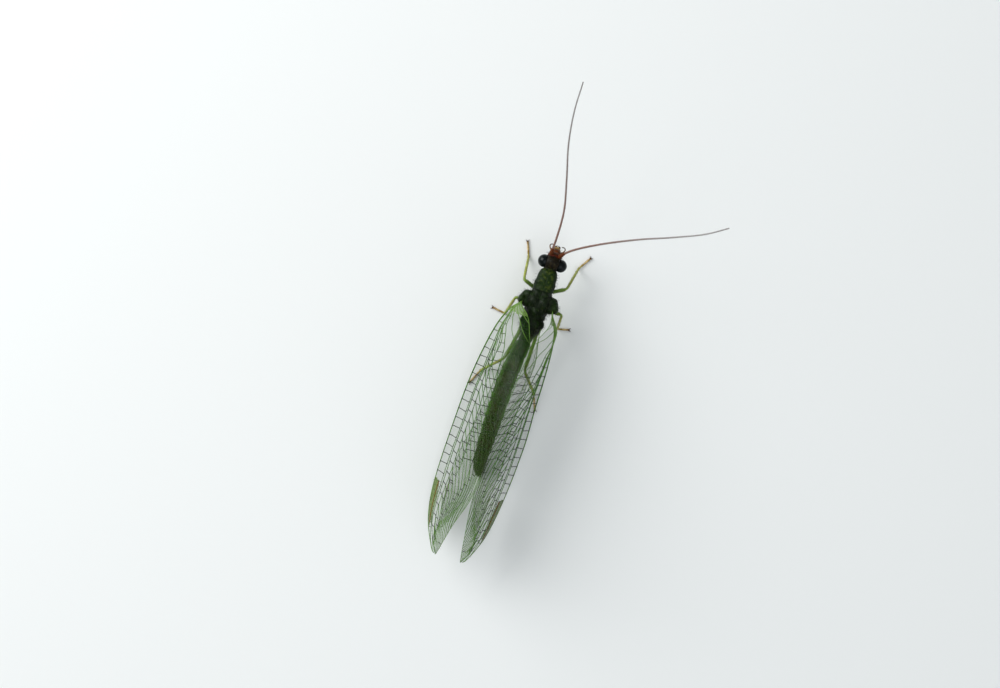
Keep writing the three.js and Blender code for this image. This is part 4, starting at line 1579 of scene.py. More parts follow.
# and of the ridge, where the forewings meet
RIDGE_LINE_ROWS = (
    (0.32, 0.88, 2.92),
    (0.75, 0.62, 3.3),
    (1.2, 0.4, 3.58),
    (1.8, 0.18, 3.88),
    (2.4, 0.06, 4.08),
    (4.4, 0.03, 4.34),
    (6.5, 0.02, 4.42),
    (9.0, 0.03, 4.22),
    (11.0, 0.12, 3.82),
    (12.92, 0.4, 3.1),
)
RIDGE_LINE = through(RIDGE_LINE_ROWS)

# [y, share of the roof's width] of a folded hindwing's lower edge
HIND_EDGE = through(((1.2, 0.46), (2, 0.46), (3.2, 0.46), (4.6, 0.45), (6.5, 0.3), (8, 0.13), (12, 0.12)))


def rounded_off(y: float, tip: float, length: float, power: float) -> float:
    """How wide a wing still is where it rounds off over a length before its tip, as a share."""
    past = min(1.0, max(0.0, (y - (tip - length)) / length))
    return math.sqrt(max(0.0, 1 - past**power))


@dataclass
class Roof:
    """One slope of the steep roof that the folded wings make over the body."""

    side: Side
    overlap: float = 0.0  # how far the ridge reaches past the middle line
    lift: float = 0.0
    half_thick: float = 0.21  # of the solid wing, on whose outer face a forewing's membrane lies
    tuck: float = 0.0  # how much closer the front part of the leading edge lies

    @staticmethod
    def open(y: float) -> float:
        """How wide the roof still is at a station, as a share of its plain width."""
        return rounded_off(y, WING_TIP, TIP_LENGTH, 2.5)

    def edges(self, y: float) -> tuple[Vector, Vector]:
        """The leading edge and the ridge at a station, as if the roof did not narrow."""
        out, low = LEADING_EDGE(y)
        inner, high = RIDGE_LINE(y)
        over = self.overlap * float(band((1.4, 2.6), (9.5, 11.5), y))
        out -= self.tuck * float(band((0.4, 1.4), (4.4, 7.0), y))
        foot = Vector((ROOF_MIDDLE(y)[0] + self.side.value * out, y, low))
        top = Vector((RIDGE_MIDDLE(y)[0] + self.side.value * (inner - over), y, high + self.lift))
        return foot, top

    def place(self, y: float, share: float) -> Vector:
        """A place on the roof, its share counted from the leading edge."""
        foot, top = self.edges(y)
        wide = self.open(y)
        foot = Vector((ROOF_MIDDLE(y)[0] + self.side.value * TIP_X, y, TIP_Z)).lerp(foot, wide)
        top = Vector((RIDGE_MIDDLE(y)[0] + self.side.value * TIP_X, y, TIP_Z)).lerp(top, wide)
        width = max(1e-6, (top - foot).length)
        out = Vector((self.side.value * abs(top.z - foot.z), 0.0, abs(top.x - foot.x))) / width
        bow = BOW(y)[0] * width * share * share * (1 - share) / BOW_PEAK
        return foot.lerp(top, share) + out * bow

    def normal(self, y: float, share: float) -> Vector:
        """The direction that the roof's outer face looks in."""
        step = 2e-3
        inside = min(1 - 5 * step, max(5 * step, share))
        station = min(y, WING_TIP - 0.06)
        along = self.place(station + step, inside) - self.place(station - step, inside)
        across = self.place(station, inside + step) - self.place(station, inside - step)
        made = along.cross(across).normalized()
        return -made if made.x * self.side.value < 0 else made


@dataclass
class ForeSheet:
    """The surface of a forewing, which is the roof itself with shallow pleats.

    A place on it is a station along the body and a share of the wing's width, from 0 at the
    leading edge to 1 at the rear margin. The veins are laid out on a plain share instead, which
    runs on past the margins as if the wing did not narrow to its tip.
    """

    roof: Roof
    root: float = WING_ROOT
    tip: float = WING_TIP
    tip_length: float = TIP_LENGTH
    tip_share: float = 0.38
    pleat: float = 0.016
    pleat_width: float = 0.62
    rooting: Spot = (0.0, 0.8)  # the stations over which it widens from its hinge

    def open(self, y: float) -> float:
        """How wide the wing still is at a station, as a share of its plain width."""
        return self.roof.open(y)

    def width(self, y: float) -> float:
        """The plain width at a station."""
        foot, top = self.roof.edges(y)
        return (top - foot).length

    def share_of(self, y: float, plain: float) -> float:
        """The share of the wing's true width for a plain share."""
        return self.tip_share + (plain - self.tip_share) / max(0.01, self.open(y))

    def bare(self, y: float, share: float) -> tuple[Vector, Vector]:
        """A place on the unpleated wing and the direction that its outer face looks in."""
        normal = self.roof.normal(y, share)
        lift = self.roof.half_thick * (1 - 0.45 * float(smoothstep(11.4, 12.8, y)))
        lift *= float(smoothstep(-0.2, 1.7, y))
        hinge = Vector((THORAX_X + self.roof.side.value * 0.76, y, 2.56 + 0.2 * (share - 0.5)))
        place = self.roof.place(y, share) + normal * lift
        return place.lerp(hinge, 1 - float(smoothstep(*self.rooting, y))), normal

    def place(self, y: float, share: float) -> Vector:
        """A place on the pleated membrane."""
        width = self.width(y) * self.open(y)
        fade = max(0.0, min(1.0, 6 * share * (1 - share))) * min(1.0, width / 1.5)
        wave = math.sin(share * width * 2 * math.pi / self.pleat_width) + 0.5 * math.sin(y * 2.3 + share * 9)
        place, normal = self.bare(y, share)
        return place + normal * (self.pleat * wave * fade)

    def stations(self, plain: int, tip: int) -> list[float]:
        """Stations from root to tip, closer together where the tip rounds off."""
        start = self.tip - self.tip_length
        rounding = [start + self.tip_length * math.sin(math.radians(a)) for a in evenly(0, 88.5, tip)]
        return evenly(self.root, start, plain)[:-1] + rounding


@dataclass
class HindSheet(ForeSheet):
    """The surface of a hindwing, folded inside the forewing and drawn in to the metathorax."""

    root: float = 1.2
    tip: float = 11.7
    tip_length: float = 2.9
    tip_share: float = 0.36
    inset: float = 0.36  # from the roof, and less towards the tip
    clear: float = 0.1  # from the middle line
    highs: dict[float, float] = field(default_factory=dict)

    def high(self, y: float) -> float:
        """The highest share of the roof that keeps clear of the other hindwing."""
        key = round(y, 2)
        if key not in self.highs:
            low, high = 0.3, 0.93
            for _ in range(12):
                share = (low + high) / 2
                place = self.roof.place(key, share) - self.roof.normal(key, share) * self.inset
                clear = self.roof.side.value * (place.x - RIDGE_MIDDLE(key)[0]) > self.clear
                low, high = (share, high) if clear else (low, share)
            self.highs[key] = low
        return self.highs[key]

    def open(self, y: float) -> float:
        """How wide the wing is at a station, as a share of its plain width."""
        rooting = mix(0.1, 1.0, float(smoothstep(self.root, 3.0, y)))
        return rooting * rounded_off(y, self.tip, self.tip_length, 2)

    def width(self, y: float) -> float:
        """The plain width at a station."""
        foot, top = self.roof.edges(y)
        return (top - foot).length * (self.high(y) - HIND_EDGE(y)[0])

    def bare(self, y: float, share: float) -> tuple[Vector, Vector]:
        """A place on the unpleated wing and the direction that its outer face looks in."""
        low, high = HIND_EDGE(y)[0], self.high(y)
        middle = mix(low, high, self.tip_share)
        on_roof = middle + (mix(low, high, share) - middle) * self.open(y)
        normal = self.roof.normal(y, on_roof)
        fading = 1 - 0.5 * float(smoothstep(9.0, 11.4, y))
        place = self.roof.place(y, on_roof) - normal * self.inset * fading
        root = Vector((THORAX_X + self.roof.side.value * 0.5, y, 2.4 + 0.16 * (share - 0.5)))
        return place.lerp(root, 1 - float(smoothstep(self.root, 3.1, y))), normal


@dataclass(frozen=True)
class VeinPlan:
    """Where the veins of a kind of wing run, and where its coloured fields lie."""

    subcosta: Rows  # [y, distance from the leading edge], as the next two
    radius: Rows
    sector: Rows
    media: Rows  # [y, plain share of the width], as the next rows
    pseudomedia: Rows
    pseudocubitus: Rows
    anals: tuple[Rows, ...]
    costal: Point  # first and last cross vein, and their spacing
    radial: Point
    branches: tuple[float, float, int]  # first and last branch of the sector, and their number
    slant: Spot  # how far along the wing the first and the last branch slant before they run straight
    ends: Spot  # the plain share that the first and the last branch come to
    inner: tuple[int, int]  # the branches that the inner row of steps joins
    outer: tuple[int, int]
    middle: Point  # between pseudomedia and pseudocubitus
    rear: Point  # from pseudocubitus to the rear margin
    stigma: Spot
    stigma_width: float = 0.84  # as a share of the distance to the radius
    milk: float = 0.75  # how far the milky membrane reaches from the root
    weight: float = 1.0
    forked: bool = True  # whether the branches split before the margin

    def stigma_reach(self, y: float) -> float:
        """How far from the leading edge the stigma, a blunt spindle, reaches at a station."""
        first, last = self.stigma
        along = min(1.0, max(0.0, (y - first) / (last - first)))
        return through(self.radius)(y)[0] * self.stigma_width * math.sin(math.pi * along**0.8) ** 0.7


FORE_PLAN = VeinPlan(
    subcosta=(
        *((0.1, 0.06), (0.5, 0.22), (1.2, 0.5), (2.4, 0.82), (4.4, 0.98)),
        *((6.5, 0.98), (9, 0.9), (10.5, 0.82), (11.8, 0.62), (13, 0.4)),
    ),
    radius=(
        *((0.1, 0.12), (0.5, 0.32), (1.2, 0.64), (2.4, 0.99), (4.4, 1.16)),
        *((6.5, 1.16), (9, 1.08), (10.5, 1.0), (11.8, 0.86), (13, 0.8)),
    ),
    sector=(
        *((2.2, 0.96), (2.7, 1.2), (3.4, 1.42), (4.4, 1.64)),
        *((6.5, 1.76), (9, 1.66), (11, 1.42), (12.9, 1.1)),
    ),
    media=((0.12, 0.3), (0.6, 0.33), (1.6, 0.37), (2.6, 0.42), (3.6, 0.51)),
    pseudomedia=((0.12, 0.36), (0.9, 0.41), (1.8, 0.45), (3.0, 0.5), (5, 0.565), (7, 0.61), (8.8, 0.64)),
    pseudocubitus=((0.12, 0.44), (0.6, 0.5), (1.8, 0.59), (3, 0.69), (5, 0.77), (7, 0.81), (9.9, 0.84)),
    anals=(
        ((0.14, 0.54), (0.8, 0.64), (2.0, 0.78), (3.2, 0.9), (4.6, 1.08)),
        ((0.14, 0.64), (1.0, 0.82), (1.8, 0.94), (2.6, 1.08)),
        ((0.14, 0.76), (0.8, 0.9), (1.6, 1.08)),
        ((0.14, 0.88), (0.6, 0.96), (1.0, 1.08)),
    ),
    costal=(0.6, 9.5, 0.45),
    radial=(2.8, 12.2, 0.52),
    branches=(3.0, 11.6, 19),
    slant=(4.6, 0.9),
    ends=(1.1, 0.5),
    inner=(3, 17),
    outer=(1, 18),
    middle=(0.7, 8.2, 0.44),
    rear=(3.4, 8.0, 0.42),
    stigma=(9.5, 11.9),
)
HIND_PLAN = VeinPlan(
    subcosta=((1.2, 0.03), (2.4, 0.1), (4.4, 0.13), (8, 0.13), (10.6, 0.11), (12, 0.12)),
    radius=((1.2, 0.05), (2.4, 0.17), (4.4, 0.24), (8, 0.25), (10.6, 0.26), (12, 0.4)),
    sector=((2.6, 0.19), (3.4, 0.36), (4.4, 0.52), (6.5, 0.7), (9, 0.74), (11.9, 0.6)),
    media=((1.25, 0.3), (2.2, 0.36), (3.4, 0.42), (4.2, 0.5)),
    pseudomedia=((1.25, 0.42), (2.4, 0.46), (4, 0.5), (6, 0.56), (8.2, 0.62)),
    pseudocubitus=((1.25, 0.55), (2.4, 0.64), (4, 0.72), (6, 0.78), (8.8, 0.82)),
    anals=(((1.3, 0.72), (2.2, 0.84), (3.4, 1.08)), ((1.3, 0.86), (2.0, 0.96), (2.6, 1.08))),
    costal=(2.6, 9.4, 0.4),
    radial=(3.6, 11.2, 0.6),
    branches=(3.8, 10.6, 9),
    slant=(4.0, 0.8),
    ends=(1.12, 0.55),
    inner=(2, 8),
    outer=(1, 8),
    middle=(2.6, 7.6, 0.6),
    rear=(3.0, 7.4, 0.45),
    stigma=(9.4, 10.8),
    milk=0.0,
    weight=0.56,
    forked=False,
)

LONG_R, CROSS_R, TWIG_R = 0.02, 0.018, 0.012  # radii of veins on a forewing


@dataclass(frozen=True)
class Branch:
    """A branch of the radial sector: it slants off the sector, then runs straight to the tip."""

    start: float
    low: float  # the plain share that it starts from
    slant: float
    end: float

    def plain(self, y: float) -> float:
        """The branch's plain share at a station."""
        rest = max(0.0, 1 - (y - self.start) / self.slant)
        return mix(self.low, self.end, 1 - rest * rest)


@dataclass
class Venation:
    """The veins of one wing, as strands on its surface, with the places where they meet."""

    sheet: ForeSheet
    plan: VeinPlan
    long: list[Strand] = field(default_factory=list)
    cross: list[Strand] = field(default_factory=list)
    joints: list[Vector] = field(default_factory=list)
    streak: list[Vector] = field(default_factory=list)  # the reddish line along the stigma
    step: float = 0.11  # between the points of a long vein
    swing: float = 0.022  # of the sector's zigzag
    past_margin: float = 1.04  # a share that lies past the rear margin, where twigs are cut off
    fork_length: float = 1.5
    fork_gap: float = 0.1

    def course(self, rows: Rows, measured: bool = False) -> Course:
        """A vein's plain share at a station, from rows of shares, or of distances if measured."""
        at = through(rows)

        def share(y: float) -> float:
            """The plain share at a station."""
            return at(y)[0] / (self.sheet.width(y) if measured else 1.0)

        return share

    def chain(self, spots: Sequence[Spot]) -> list[Vector]:
        """Points on the wing for stations and plain shares, cut off at the margin."""
        kept = []
        for (y0, p0), (y1, p1) in zip(spots, spots[1:]):
            if not kept:
                kept.append((y0, self.sheet.share_of(y0, p0)))
            share = self.sheet.share_of(y1, p1)
            if 0.0 <= share <= 1.0 and y1 < self.sheet.tip:
                kept.append((y1, share))
                continue
            low, high = 0.0, 1.0
            for _ in range(10):
                half = (low + high) / 2
                inside = 0.0 <= self.sheet.share_of(mix(y0, y1, half), mix(p0, p1, half)) <= 1.0
                low, high = (half, high) if inside else (low, half)
            y = mix(y0, y1, low)
            kept.append((y, self.sheet.share_of(y, mix(p0, p1, low))))
            break
        return [self.sheet.place(y, min(1.0, max(0.0, share))) for y, share in kept]

    def add(self, group: list[Strand], points: list[Vector], start: float, end: float) -> None:
        """Add a strand that tapers from one radius to another."""
        if len(points) > 1:
            radii = [radius * self.plan.weight for radius in evenly(start, end, len(points))]
            group.append(Strand(points, radii))

    def run(self, course: Course, first: float, last: float, end: float, start: float = LONG_R) -> None:
        """Add a long vein along its course.

        Args:
            course: Its plain share at a station.
            first: The station that it starts at.
            last: The station that it ends at.
            end: Its radius there.
            start: Its radius at the start.
        """
        count = max(3, int(abs(last - first) / self.step) + 1)
        points = self.chain([(y, course(y)) for y in evenly(first, last, count)])
        self.add(self.long, points, start, end)

    def between(self, a: Spot, b: Spot, radius: float = CROSS_R) -> None:
        """Add a cross vein between two places, with the places as joints."""
        spots = [(mix(a[0], b[0], t), mix(a[1], b[1], t)) for t in (0, 0.25, 0.5, 0.75, 1)]
        points = self.chain(spots)
        self.add(self.cross, points, radius, radius)
        self.joints += [points[0], points[-1]]

    def build(self) -> None:
        """Lay out the whole wing."""
        plan, root, tip = self.plan, self.sheet.root, self.sheet.tip
        subcosta, radius = self.course(plan.subcosta, measured=True), self.course(plan.radius, measured=True)
        sector = self.zigzag(self.course(plan.sector, measured=True))
        media, pseudomedia = self.course(plan.media), self.course(plan.pseudomedia)
        pseudocubitus = self.course(plan.pseudocubitus)
        self.margins()
        self.run(subcosta, root, tip, 0.013)
        self.run(radius, root, tip, 0.014, LONG_R * 1.3)
        self.run(sector, plan.sector[0][0], tip, 0.013)
        self.run(media, plan.media[0][0], plan.media[-1][0], 0.015)
        self.run(pseudomedia, plan.pseudomedia[0][0], plan.pseudomedia[-1][0], 0.014)
        self.run(pseudocubitus, plan.pseudocubitus[0][0], plan.pseudocubitus[-1][0], 0.014)
        for rows in plan.anals:
            self.run(self.course(rows), rows[0][0], rows[-1][0], 0.013)
        self.costal_field(subcosta, radius)
        self.basal_field(radius, media, pseudomedia)
        for y in self.steps(plan.radial):
            self.between((y, radius(y)), (y + 0.1, sector(y + 0.1)))
        for y in self.steps(plan.middle):
            self.between((y, pseudomedia(y)), (y - 0.06, pseudocubitus(y - 0.06)))
        self.rear_field(pseudocubitus)
        self.sector_field(sector)

    @staticmethod
    def steps(row: Point) -> list[float]:
        """Stations from a first to a last one at a spacing."""
        first, last, spacing = row
        return [first + spacing * i for i in range(int((last - first) / spacing) + 1)]

    def zigzag(self, plain: Course) -> Course:
        """The radial sector's course, which bends at each cross vein and branch."""
        first, _, spacing = self.plan.radial

        def course(y: float) -> float:
            """The plain share at a station."""
            phase = (y - first - 0.1) / spacing
            corner = 1 - 4 * abs(phase - math.floor(phase) - 0.5)
            return plain(y) + self.swing * corner / self.sheet.width(y)

        return course

    def margins(self) -> None:
        """The costa along the leading edge, and the finer rear margin."""
        stations = self.sheet.stations(90, 26)
        self.add(self.long, [self.sheet.place(y, 0.0) for y in stations], 0.036, 0.017)
        self.add(self.long, [self.sheet.place(y, 1.0) for y in stations], 0.014, 0.012)

    def costal_field(self, subcosta: Course, radius: Course) -> None:
        """The ladder of cross veins along the leading edge, faint and close in the stigma."""
        for i, y in enumerate(self.steps(self.plan.costal)):
            lean = 0.05 + 0.03 * math.sin(i * 1.7)
            self.between((y, self.edge_plain(y)), (y + lean, subcosta(y + lean)))
        first, last = self.plan.stigma
        stations = evenly(first + 0.15, last - 0.3, 20)
        self.streak = self.chain([(y, mix(self.edge_plain(y), subcosta(y), 0.55)) for y in stations])
        self.add(self.cross, self.streak, 0.026, 0.02)
        for y in self.steps((first + 0.1, last - 0.1, 0.24)):
            self.between((y, self.edge_plain(y)), (y + 0.05, subcosta(y + 0.05)), TWIG_R * 0.8)
        for y in (1.0, first + 0.3, last - 0.5):
            if y > self.sheet.root:
                self.between((y, subcosta(y)), (y + 0.03, radius(y + 0.03)), TWIG_R)

    def edge_plain(self, y: float) -> float:
        """The plain share at which the leading edge lies."""
        return self.sheet.tip_share * (1 - self.sheet.open(y)) + 1e-4

    def basal_field(self, radius: Course, media: Course, pseudomedia: Course) -> None:
        """Cross veins near the root, and the small closed cell behind the media."""
        start, end = self.plan.media[1][0], self.plan.media[-1][0]
        for share in (0.05, 0.22, 0.4, 0.58, 0.76, 0.93):
            y = mix(start, end, share)
            self.between((y, radius(y)), (y, media(y)))
        first, last = mix(start, end, 0.36), mix(start, end, 0.78)
        spots = []
        for t in evenly(0, 1, 9):
            y = mix(first, last, t)
            spots.append((y, pseudomedia(y) + 0.055 * math.sin(math.pi * t) ** 0.7))
        self.add(self.long, self.chain(spots), CROSS_R, CROSS_R)

    def rear_field(self, pseudocubitus: Course) -> None:
        """Forked twigs from the pseudocubitus to the rear margin."""
        for y in self.steps(self.plan.rear):
            start = (y, pseudocubitus(y))
            fork = (y + 0.2, mix(start[1], 1.0, 0.55))
            self.between(start, fork, TWIG_R * 1.1)
            for ahead in (0.08, 0.3):
                twig = self.chain([fork, (fork[0] + ahead, self.past_margin)])
                self.add(self.cross, twig, TWIG_R, TWIG_R)

    def sector_field(self, sector: Course) -> None:
        """The sector's branches, most of them forked, and the rows of steps that join them."""
        plan, tip = self.plan, self.sheet.tip
        first, last, count = plan.branches
        branches = []
        for k, start in enumerate(evenly(first, last, count)):
            share = k / (count - 1)
            slant, end = mix(*plan.slant, share), mix(*plan.ends, share)
            branches.append(Branch(start, sector(start), slant, end))
        for branch in branches:
            spots = [(y, branch.plain(y)) for y in evenly(branch.start, tip, 44)]
            points = self.chain(spots)
            self.joints.append(points[0])
            end = points[-1].y
            split = max(mix(branch.start, end, 0.5), end - self.fork_length) if plan.forked else tip - 0.02
            trunk = [spot for spot in spots if spot[0] < split] + [(split, branch.plain(split))]
            self.add(self.long, self.chain(trunk), 0.0165, 0.014)
            if plan.forked:
                self.fork(branch, split, end + 0.4)
        for (low_k, high_k), share in ((plan.inner, 0.36), (plan.outer, 0.95), (plan.outer, 1.75)):
            for k in range(low_k, min(high_k, count - 1)):
                y = branches[k].start + branches[k].slant * share
                self.step_between(branches[k], branches[k + 1], y)
        for k in range(0, count - 1, 2):
            self.step_between(branches[k], branches[k + 1], branches[k + 1].start + 0.18)

    def step_between(self, one: Branch, other: Branch, y: float) -> None:
        """Add a cross vein between two branches where both still run on the wing."""
        ahead = y - 0.05
        if ahead > other.start + 0.1 and self.sheet.share_of(y, one.plain(y)) < 0.97:
            self.between((y, one.plain(y)), (ahead, other.plain(ahead)))

    def fork(self, branch: Branch, split: float, end: float) -> None:
        """Split a branch's last stretch in two that run on side by side."""
        gap = self.fork_gap / self.sheet.width(split)
        for side in Side:
            spots = []
            for t in evenly(0, 1, 14):
                y = mix(split, end, t)
                apart = side.value * gap / 2 * float(smoothstep(0, 0.35, t))
                spots.append((y, branch.plain(y) + apart))
            points = self.chain(spots)
            self.joints.append(points[0])
            self.add(self.long, points, 0.0125, TWIG_R * 0.8)


@dataclass(frozen=True)
class WingLook:
    """The colours of a kind of wing."""

    vein: str = "#4c7c26"
    vein_root: str = "#6c8e3a"
    vein_rear: str = "#62883e"
    over_body: str = "#2a3614"  # painted shade: veins above the abdomen darkened as if its dark showed through the thin tubes
    cross: str = "#1e2a14"
    joint: str = "#121a0c"
    streak: str = "#6e3c1a"
    hair: str = "#4a4e38"


@dataclass
class Wing:
    """A wing: a clear membrane, its net of veins, its stigma and the hairs along the veins."""

    name: str
    sheet: ForeSheet
    plan: VeinPlan
    look: WingLook
    seed: int
    thick: float = 0.012
    shares: int = 50  # faces across the membrane
    hairs_per_mm: float = 4.5
    cross_hairs_per_mm: float = 3.6

    def membrane(self, clear: Material, stigma: Material, milky: Material) -> Object:
        """Lay a grid on the wing's surface and give it two faces.

        Args:
            clear: The membrane's finish.
            stigma: The finish of the coloured field near the tip of the leading edge.
            milky: The finish of the thicker membrane at the root.

        Returns:
            The membrane.
        """
        stations = self.sheet.stations(130, 36)
        rows = len(stations) - 1
        grid = bpy.ops.mesh.primitive_grid_add
        made = primitive(grid, x_subdivisions=self.shares, y_subdivisions=rows, size=2.0)
        made.name = f"{self.name}_membrane"
        dress(made, clear, stigma, milky)
        for corner in made.data.vertices:
            share = (corner.co.x + 1) / 2
            y = stations[round((corner.co.y + 1) / 2 * rows)]
            corner.co = self.sheet.place(y, share)
        milk_end = self.sheet.root + self.plan.milk
        leads = np.array([tuple(self.sheet.place(y, 0.0)) for y in stations])
        for face in made.data.polygons:
            middle = face.center
            lead = Vector([float(np.interp(middle.y, leads[:, 1], leads[:, axis])) for axis in range(3)])
            in_stigma = (middle - lead).length < self.plan.stigma_reach(middle.y)
            face.material_index = 1 if in_stigma else 2 if middle.y < milk_end else 0
        apply_modifier(made, "SOLIDIFY", thickness=self.thick, offset=0.0)
        face_outwards(made)
        return made

    def veins(self, finish: Material) -> tuple[Object, Venation]:
        """Draw the veins as round tubes and colour them.

        Args:
            finish: Their finish.

        Returns:
            The tubes, and the veins as they were laid out.
        """
        drawn = Venation(self.sheet, self.plan)
        drawn.build()
        long = tubes(f"{self.name}_long_veins", drawn.long, Roundness.SIX)
        cross = tubes(f"{self.name}_cross_veins", drawn.cross, Roundness.SIX)
        self.colour(long, drawn, self.look.vein, 0.8)
        self.colour(cross, drawn, self.look.cross, 0.0)
        made = joined(f"{self.name}_veins", [long, cross])
        dress(made, finish)
        return made, drawn

    def colour(self, piece: Object, drawn: Venation, own: str, paling: float) -> None:
        """Paint veins paler at the root, dark where they meet, and with painted shade above the body, as if
        the abdomen's dark showed through them.

        Args:
            piece: Their tubes.
            drawn: The veins as they were laid out.
            own: The colour that they have along most of the wing.
            paling: How far they take the colour of the rear at the wing's end.
        """
        look, places = self.look, places_of(piece)
        joints, streak = tree_of(drawn.joints), tree_of(drawn.streak)
        x, y = places[:, 0], places[:, 1]
        near = np.array([joints.find(Vector(p))[2] for p in places])
        colours = coloured(len(places), own)
        root = 1 - smoothstep(self.sheet.root + 0.4, self.sheet.root + 3.5, y)
        lay(colours, look.vein_root, root * 0.7)
        lay(colours, look.vein_rear, smoothstep(6.5, 9.5, y) * paling)
        # painted shade on the veins that lie above the abdomen
        off_middle = np.abs(x - Abdomen().middle(y)[0])
        above = (1 - smoothstep(0.3, 0.5, off_middle)) * band((1.6, 2.2), (8.6, 8.9), y)
        lay(colours, look.over_body, above * 0.9)
        dark = (1 - smoothstep(0.03, 0.08, near)) * (1 - 0.5 * root)
        lay(colours, look.joint, dark * 0.75)
        off = np.array([streak.find(Vector(p))[2] for p in places])
        lay(colours, look.streak, 1 - smoothstep(0.03, 0.05, off))
        paint(piece, colours)

    def hairs(self, drawn: Venation) -> Object:
        """Grow dark hairs along the veins, leaning out and to the tip."""
        coat = Bristles(seed=self.seed, thickness=0.0065, bend=0.25)
        for group, per_mm in ((drawn.long, self.hairs_per_mm), (drawn.cross, self.cross_hairs_per_mm)):
            for strand in group:
                hair_on_strand(coat, strand, int(per_mm * strand.length), 0.09, 0.62)
        return coat.build(f"{self.name}_hairs")


# Light, floor and camera


@dataclass(frozen=True)
class Lamp:
    """A square soft light that faces the animal. Lengths are in millimetres."""

    name: str
    direction: Point  # from the animal to the light
    distance: float
    size: float
    power: float  # in watts
    colour: str

    def hang(self, datum: Datum) -> None:
        """Hang the light."""
        data = bpy.data.lights.new(self.name, "AREA")
        data.shape = "SQUARE"
        data.size = self.size * MM
        data.energy = self.power
        data.color = linear(self.colour)
        lamp = new_object(self.name, data)
        way = Vector(self.direction).normalized()
        lamp.location = datum.place((0.0, 3.0, 0.0)) + way * self.distance * MM
        lamp.rotation_mode = "QUATERNION"
        lamp.rotation_quaternion = way.to_track_quat("Z", "Y")


@dataclass(frozen=True)
class Studio:
    """A pale floor under broad, soft light from the animal's left, and a camera straight above."""

    datum: Datum
    aim: Point = (0.89, 2.51, 1.9)
    distance: float = 250.0
    field_width: float = 47.62  # what the picture's width covers at the aim's height
    sensor: float = 36.0
    picture_right: Point = (-0.947, -0.3211, 0.0)
    picture_up: Point = (0.3211, -0.947, 0.0)
    floor_size: float = 1600.0
    sky: str = "#e8ecee"
    sky_strength: float = 0.45
    lamps: tuple[Lamp, ...] = (
        Lamp("window_light", (0.9, -0.3, 0.62), 170.0, 130.0, 0.3, "#ffffff"),
        Lamp("top_light", (-0.2, 0.3, 1.0), 320.0, 260.0, 0.24, "#f4f8ff"),
        Lamp("fill_light", (-0.8, 0.5, 0.5), 300.0, 200.0, 0.08, "#eaf2ff"),
    )

    def floor(self) -> None:
        """Lay the floor as a broad board."""
        made = primitive(bpy.ops.mesh.primitive_plane_add, size=self.floor_size * MM)
        made.name = "studio_floor"
        bpy.ops.object.mode_set(mode="EDIT")
        bpy.ops.mesh.select_all(action="SELECT")
        bpy.ops.mesh.subdivide(number_cuts=3)
        bpy.ops.object.mode_set(mode="OBJECT")
        dress(made, StudioFloor().material())

    def lights(self) -> None:
        """Hang the lights and set the sky's even glow."""
        for lamp in self.lamps:
            lamp.hang(self.datum)
        world = bpy.data.worlds.new("even_sky")
        world.use_nodes = True
        tree = world.node_tree
        tree.nodes.clear()
        glow = {"Color": (*linear(self.sky), 1), "Strength": self.sky_strength}
        surface = add_node(tree, "ShaderNodeBackground", glow).outputs["Background"]
        add_node(tree, "ShaderNodeOutputWorld", links={"Surface": surface})
        bpy.context.scene.world = world
        bpy.context.scene.view_settings.view_transform = "Standard"

    def camera(self) -> None:
        """Set the camera above the animal, turned as the picture is."""
        data = bpy.data.cameras.new("portrait_camera")
        data.sensor_width = self.sensor
        data.lens = self.sensor * self.distance / self.field_width
        data.clip_start = 0.01
        data.clip_end = 20.0
        camera = new_object("portrait_camera", data)
        right, up = Vector(self.picture_right), Vector(self.picture_up)
        turn = Matrix((right, up, right.cross(up))).transposed().to_4x4()
        place = self.datum.place(self.aim) + Vector((0, 0, self.distance * MM))
        camera.matrix_world = Matrix.Translation(place) @ turn
        bpy.context.scene.camera = camera


# The whole animal


def build_body(datum: Datum) -> None:
    """Build the body's skin, its hair, the eyes and the palps."""
    body = BodySkin()
    skin = body.build()
    body.dress(skin)
    pale, dark = BodyHair(skin).build()
    datum.settle(skin, "head", "prothorax", "mesothorax", "metathorax", "abdomen", slot="thorax_green")
    for coat, colour, slot in ((pale, "#565a36", "abdomen_green"), (dark, "#1c160c", "thorax_green")):
        datum.settle_plain(coat, colour, Bristle(f"{coat.name}_bristle").material(), slot)
    lens = EyeLens().material()
    for side in Side:
        eye = CompoundEye(side).build()
        dress(eye, lens)
        datum.settle(eye, f"eye_{side.word}", slot="eye")
    datum.settle(Palps().build(), slot="head_cuticle")


def build_antennae(datum: Datum) -> None:
    """Build both antennae and their whorls of hairs."""
    coat = Bristles(seed=21, thickness=0.006, bend=0.2)
    finish = Cuticle("ringed_cuticle_of_the_antennae", roughness=0.45, blotch=0.2, glow=0.0).material()
    for side in Side:
        piece = Antenna(side, ANTENNA_ROUTES[side]).build(coat)
        dress(piece, finish)
        parts = [f"antenna_{side.word}_{part}" for part in ("scape", "flagellum_near", "flagellum_far")]
        datum.settle(piece, *parts, slot="antenna")
    look = Bristle("antenna_bristle").material()
    datum.settle_plain(coat.build("antenna_hairs"), "#4a3c30", look, "antenna")


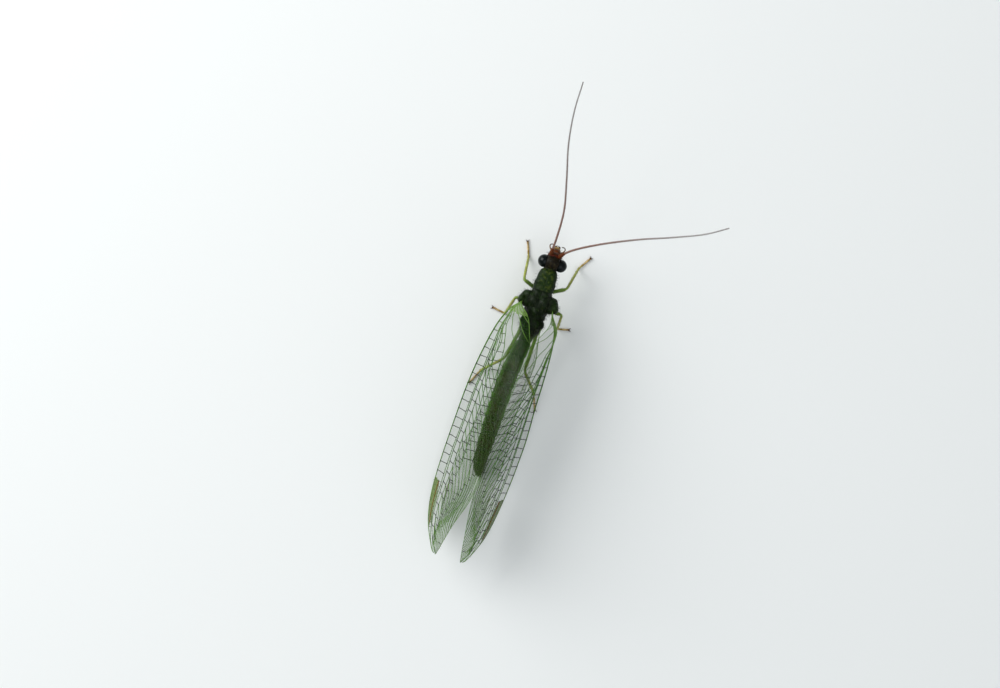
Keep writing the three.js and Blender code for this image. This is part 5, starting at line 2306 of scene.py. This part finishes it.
def build_legs(datum: Datum) -> None:
    """Build the six legs, their claws and their hairs."""
    coat = Bristles(seed=31, thickness=0.008, bend=0.25)
    foot_coat = Bristles(seed=32, thickness=0.008, bend=0.25)
    skin = Cuticle("green_cuticle_of_the_legs", roughness=0.42, blotch=0.25, glow=0.15).material()
    horn = Cuticle("dark_horn_of_the_claws", roughness=0.25, blotch=0.15, glow=0.0).material()
    for name, (upper, foot) in LEG_STOPS.items():
        leg = Leg(name, *upper, *foot)
        piece = leg.build(coat, foot_coat)
        dress(piece, skin)
        parts = [f"leg_{name}_{part}" for part in ("femur", "tibia", "tarsus")]
        datum.settle(piece, *parts, slot="leg_cuticle")
        datum.settle_plain(leg.claws(), "#4a2a12", horn, "foot_cuticle")
    for gathered, name, colour in ((coat, "leg_hairs", "#6d6a3c"), (foot_coat, "foot_hairs", "#8a7044")):
        look = Bristle(f"{name}_bristle").material()
        datum.settle_plain(gathered.build(name), colour, look, "leg_cuticle")


def build_wings(datum: Datum) -> None:
    """Build the four wings. The left forewing's ridge lies over the right one's."""
    films = (
        WingMembrane("clear_wing_membrane", "#204608", 0.11).material(),
        WingMembrane("stigma_membrane", "#5a721e", 0.75).material(),
        WingMembrane("milky_root_membrane", "#6a8a3e", 0.5, roughness=0.4).material(),
    )
    vein = Cuticle("hollow_tubes_of_the_veins", roughness=0.35, blotch=0.2, glow=0.0, relief_mm=0.001)
    vein_look, hair_look = vein.material(), Bristle("wing_bristle").material()
    fore = WingLook()
    hind = WingLook("#86a670", vein_rear="#86a670", cross="#6c8258", joint="#566a48", hair="#8a8e74")
    left, right = Roof(Side.LEFT, overlap=0.2, lift=0.048), Roof(Side.RIGHT, overlap=0.14, tuck=0.14)
    wings = (
        ("forewing_left", ForeSheet(left), FORE_PLAN, fore),
        ("hindwing_left", HindSheet(Roof(Side.LEFT)), HIND_PLAN, hind),
        ("forewing_right", ForeSheet(right, rooting=(0.15, 1.25)), FORE_PLAN, fore),
        ("hindwing_right", HindSheet(Roof(Side.RIGHT)), HIND_PLAN, hind),
    )
    for seed, (name, sheet, plan, colours) in enumerate(wings, 41):
        wing = Wing(name, sheet, plan, colours, seed)
        datum.settle(wing.membrane(*films), name, slot="wing_membrane", smooth=60.0)
        veins, drawn = wing.veins(vein_look)
        hairs = wing.hairs(drawn)
        datum.settle(veins, slot="wing_membrane")
        datum.settle_plain(hairs, colours.hair, hair_look, "wing_membrane")


def main() -> None:
    """Build the lacewing piece by piece, then the studio round it."""
    logging.basicConfig(level=logging.INFO, format="%(message)s")
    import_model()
    datum = Datum.from_frame()
    build_body(datum)
    build_antennae(datum)
    build_legs(datum)
    build_wings(datum)
    studio = Studio(datum)
    studio.floor()
    studio.lights()
    studio.camera()


if __name__ == "__main__":
    main()
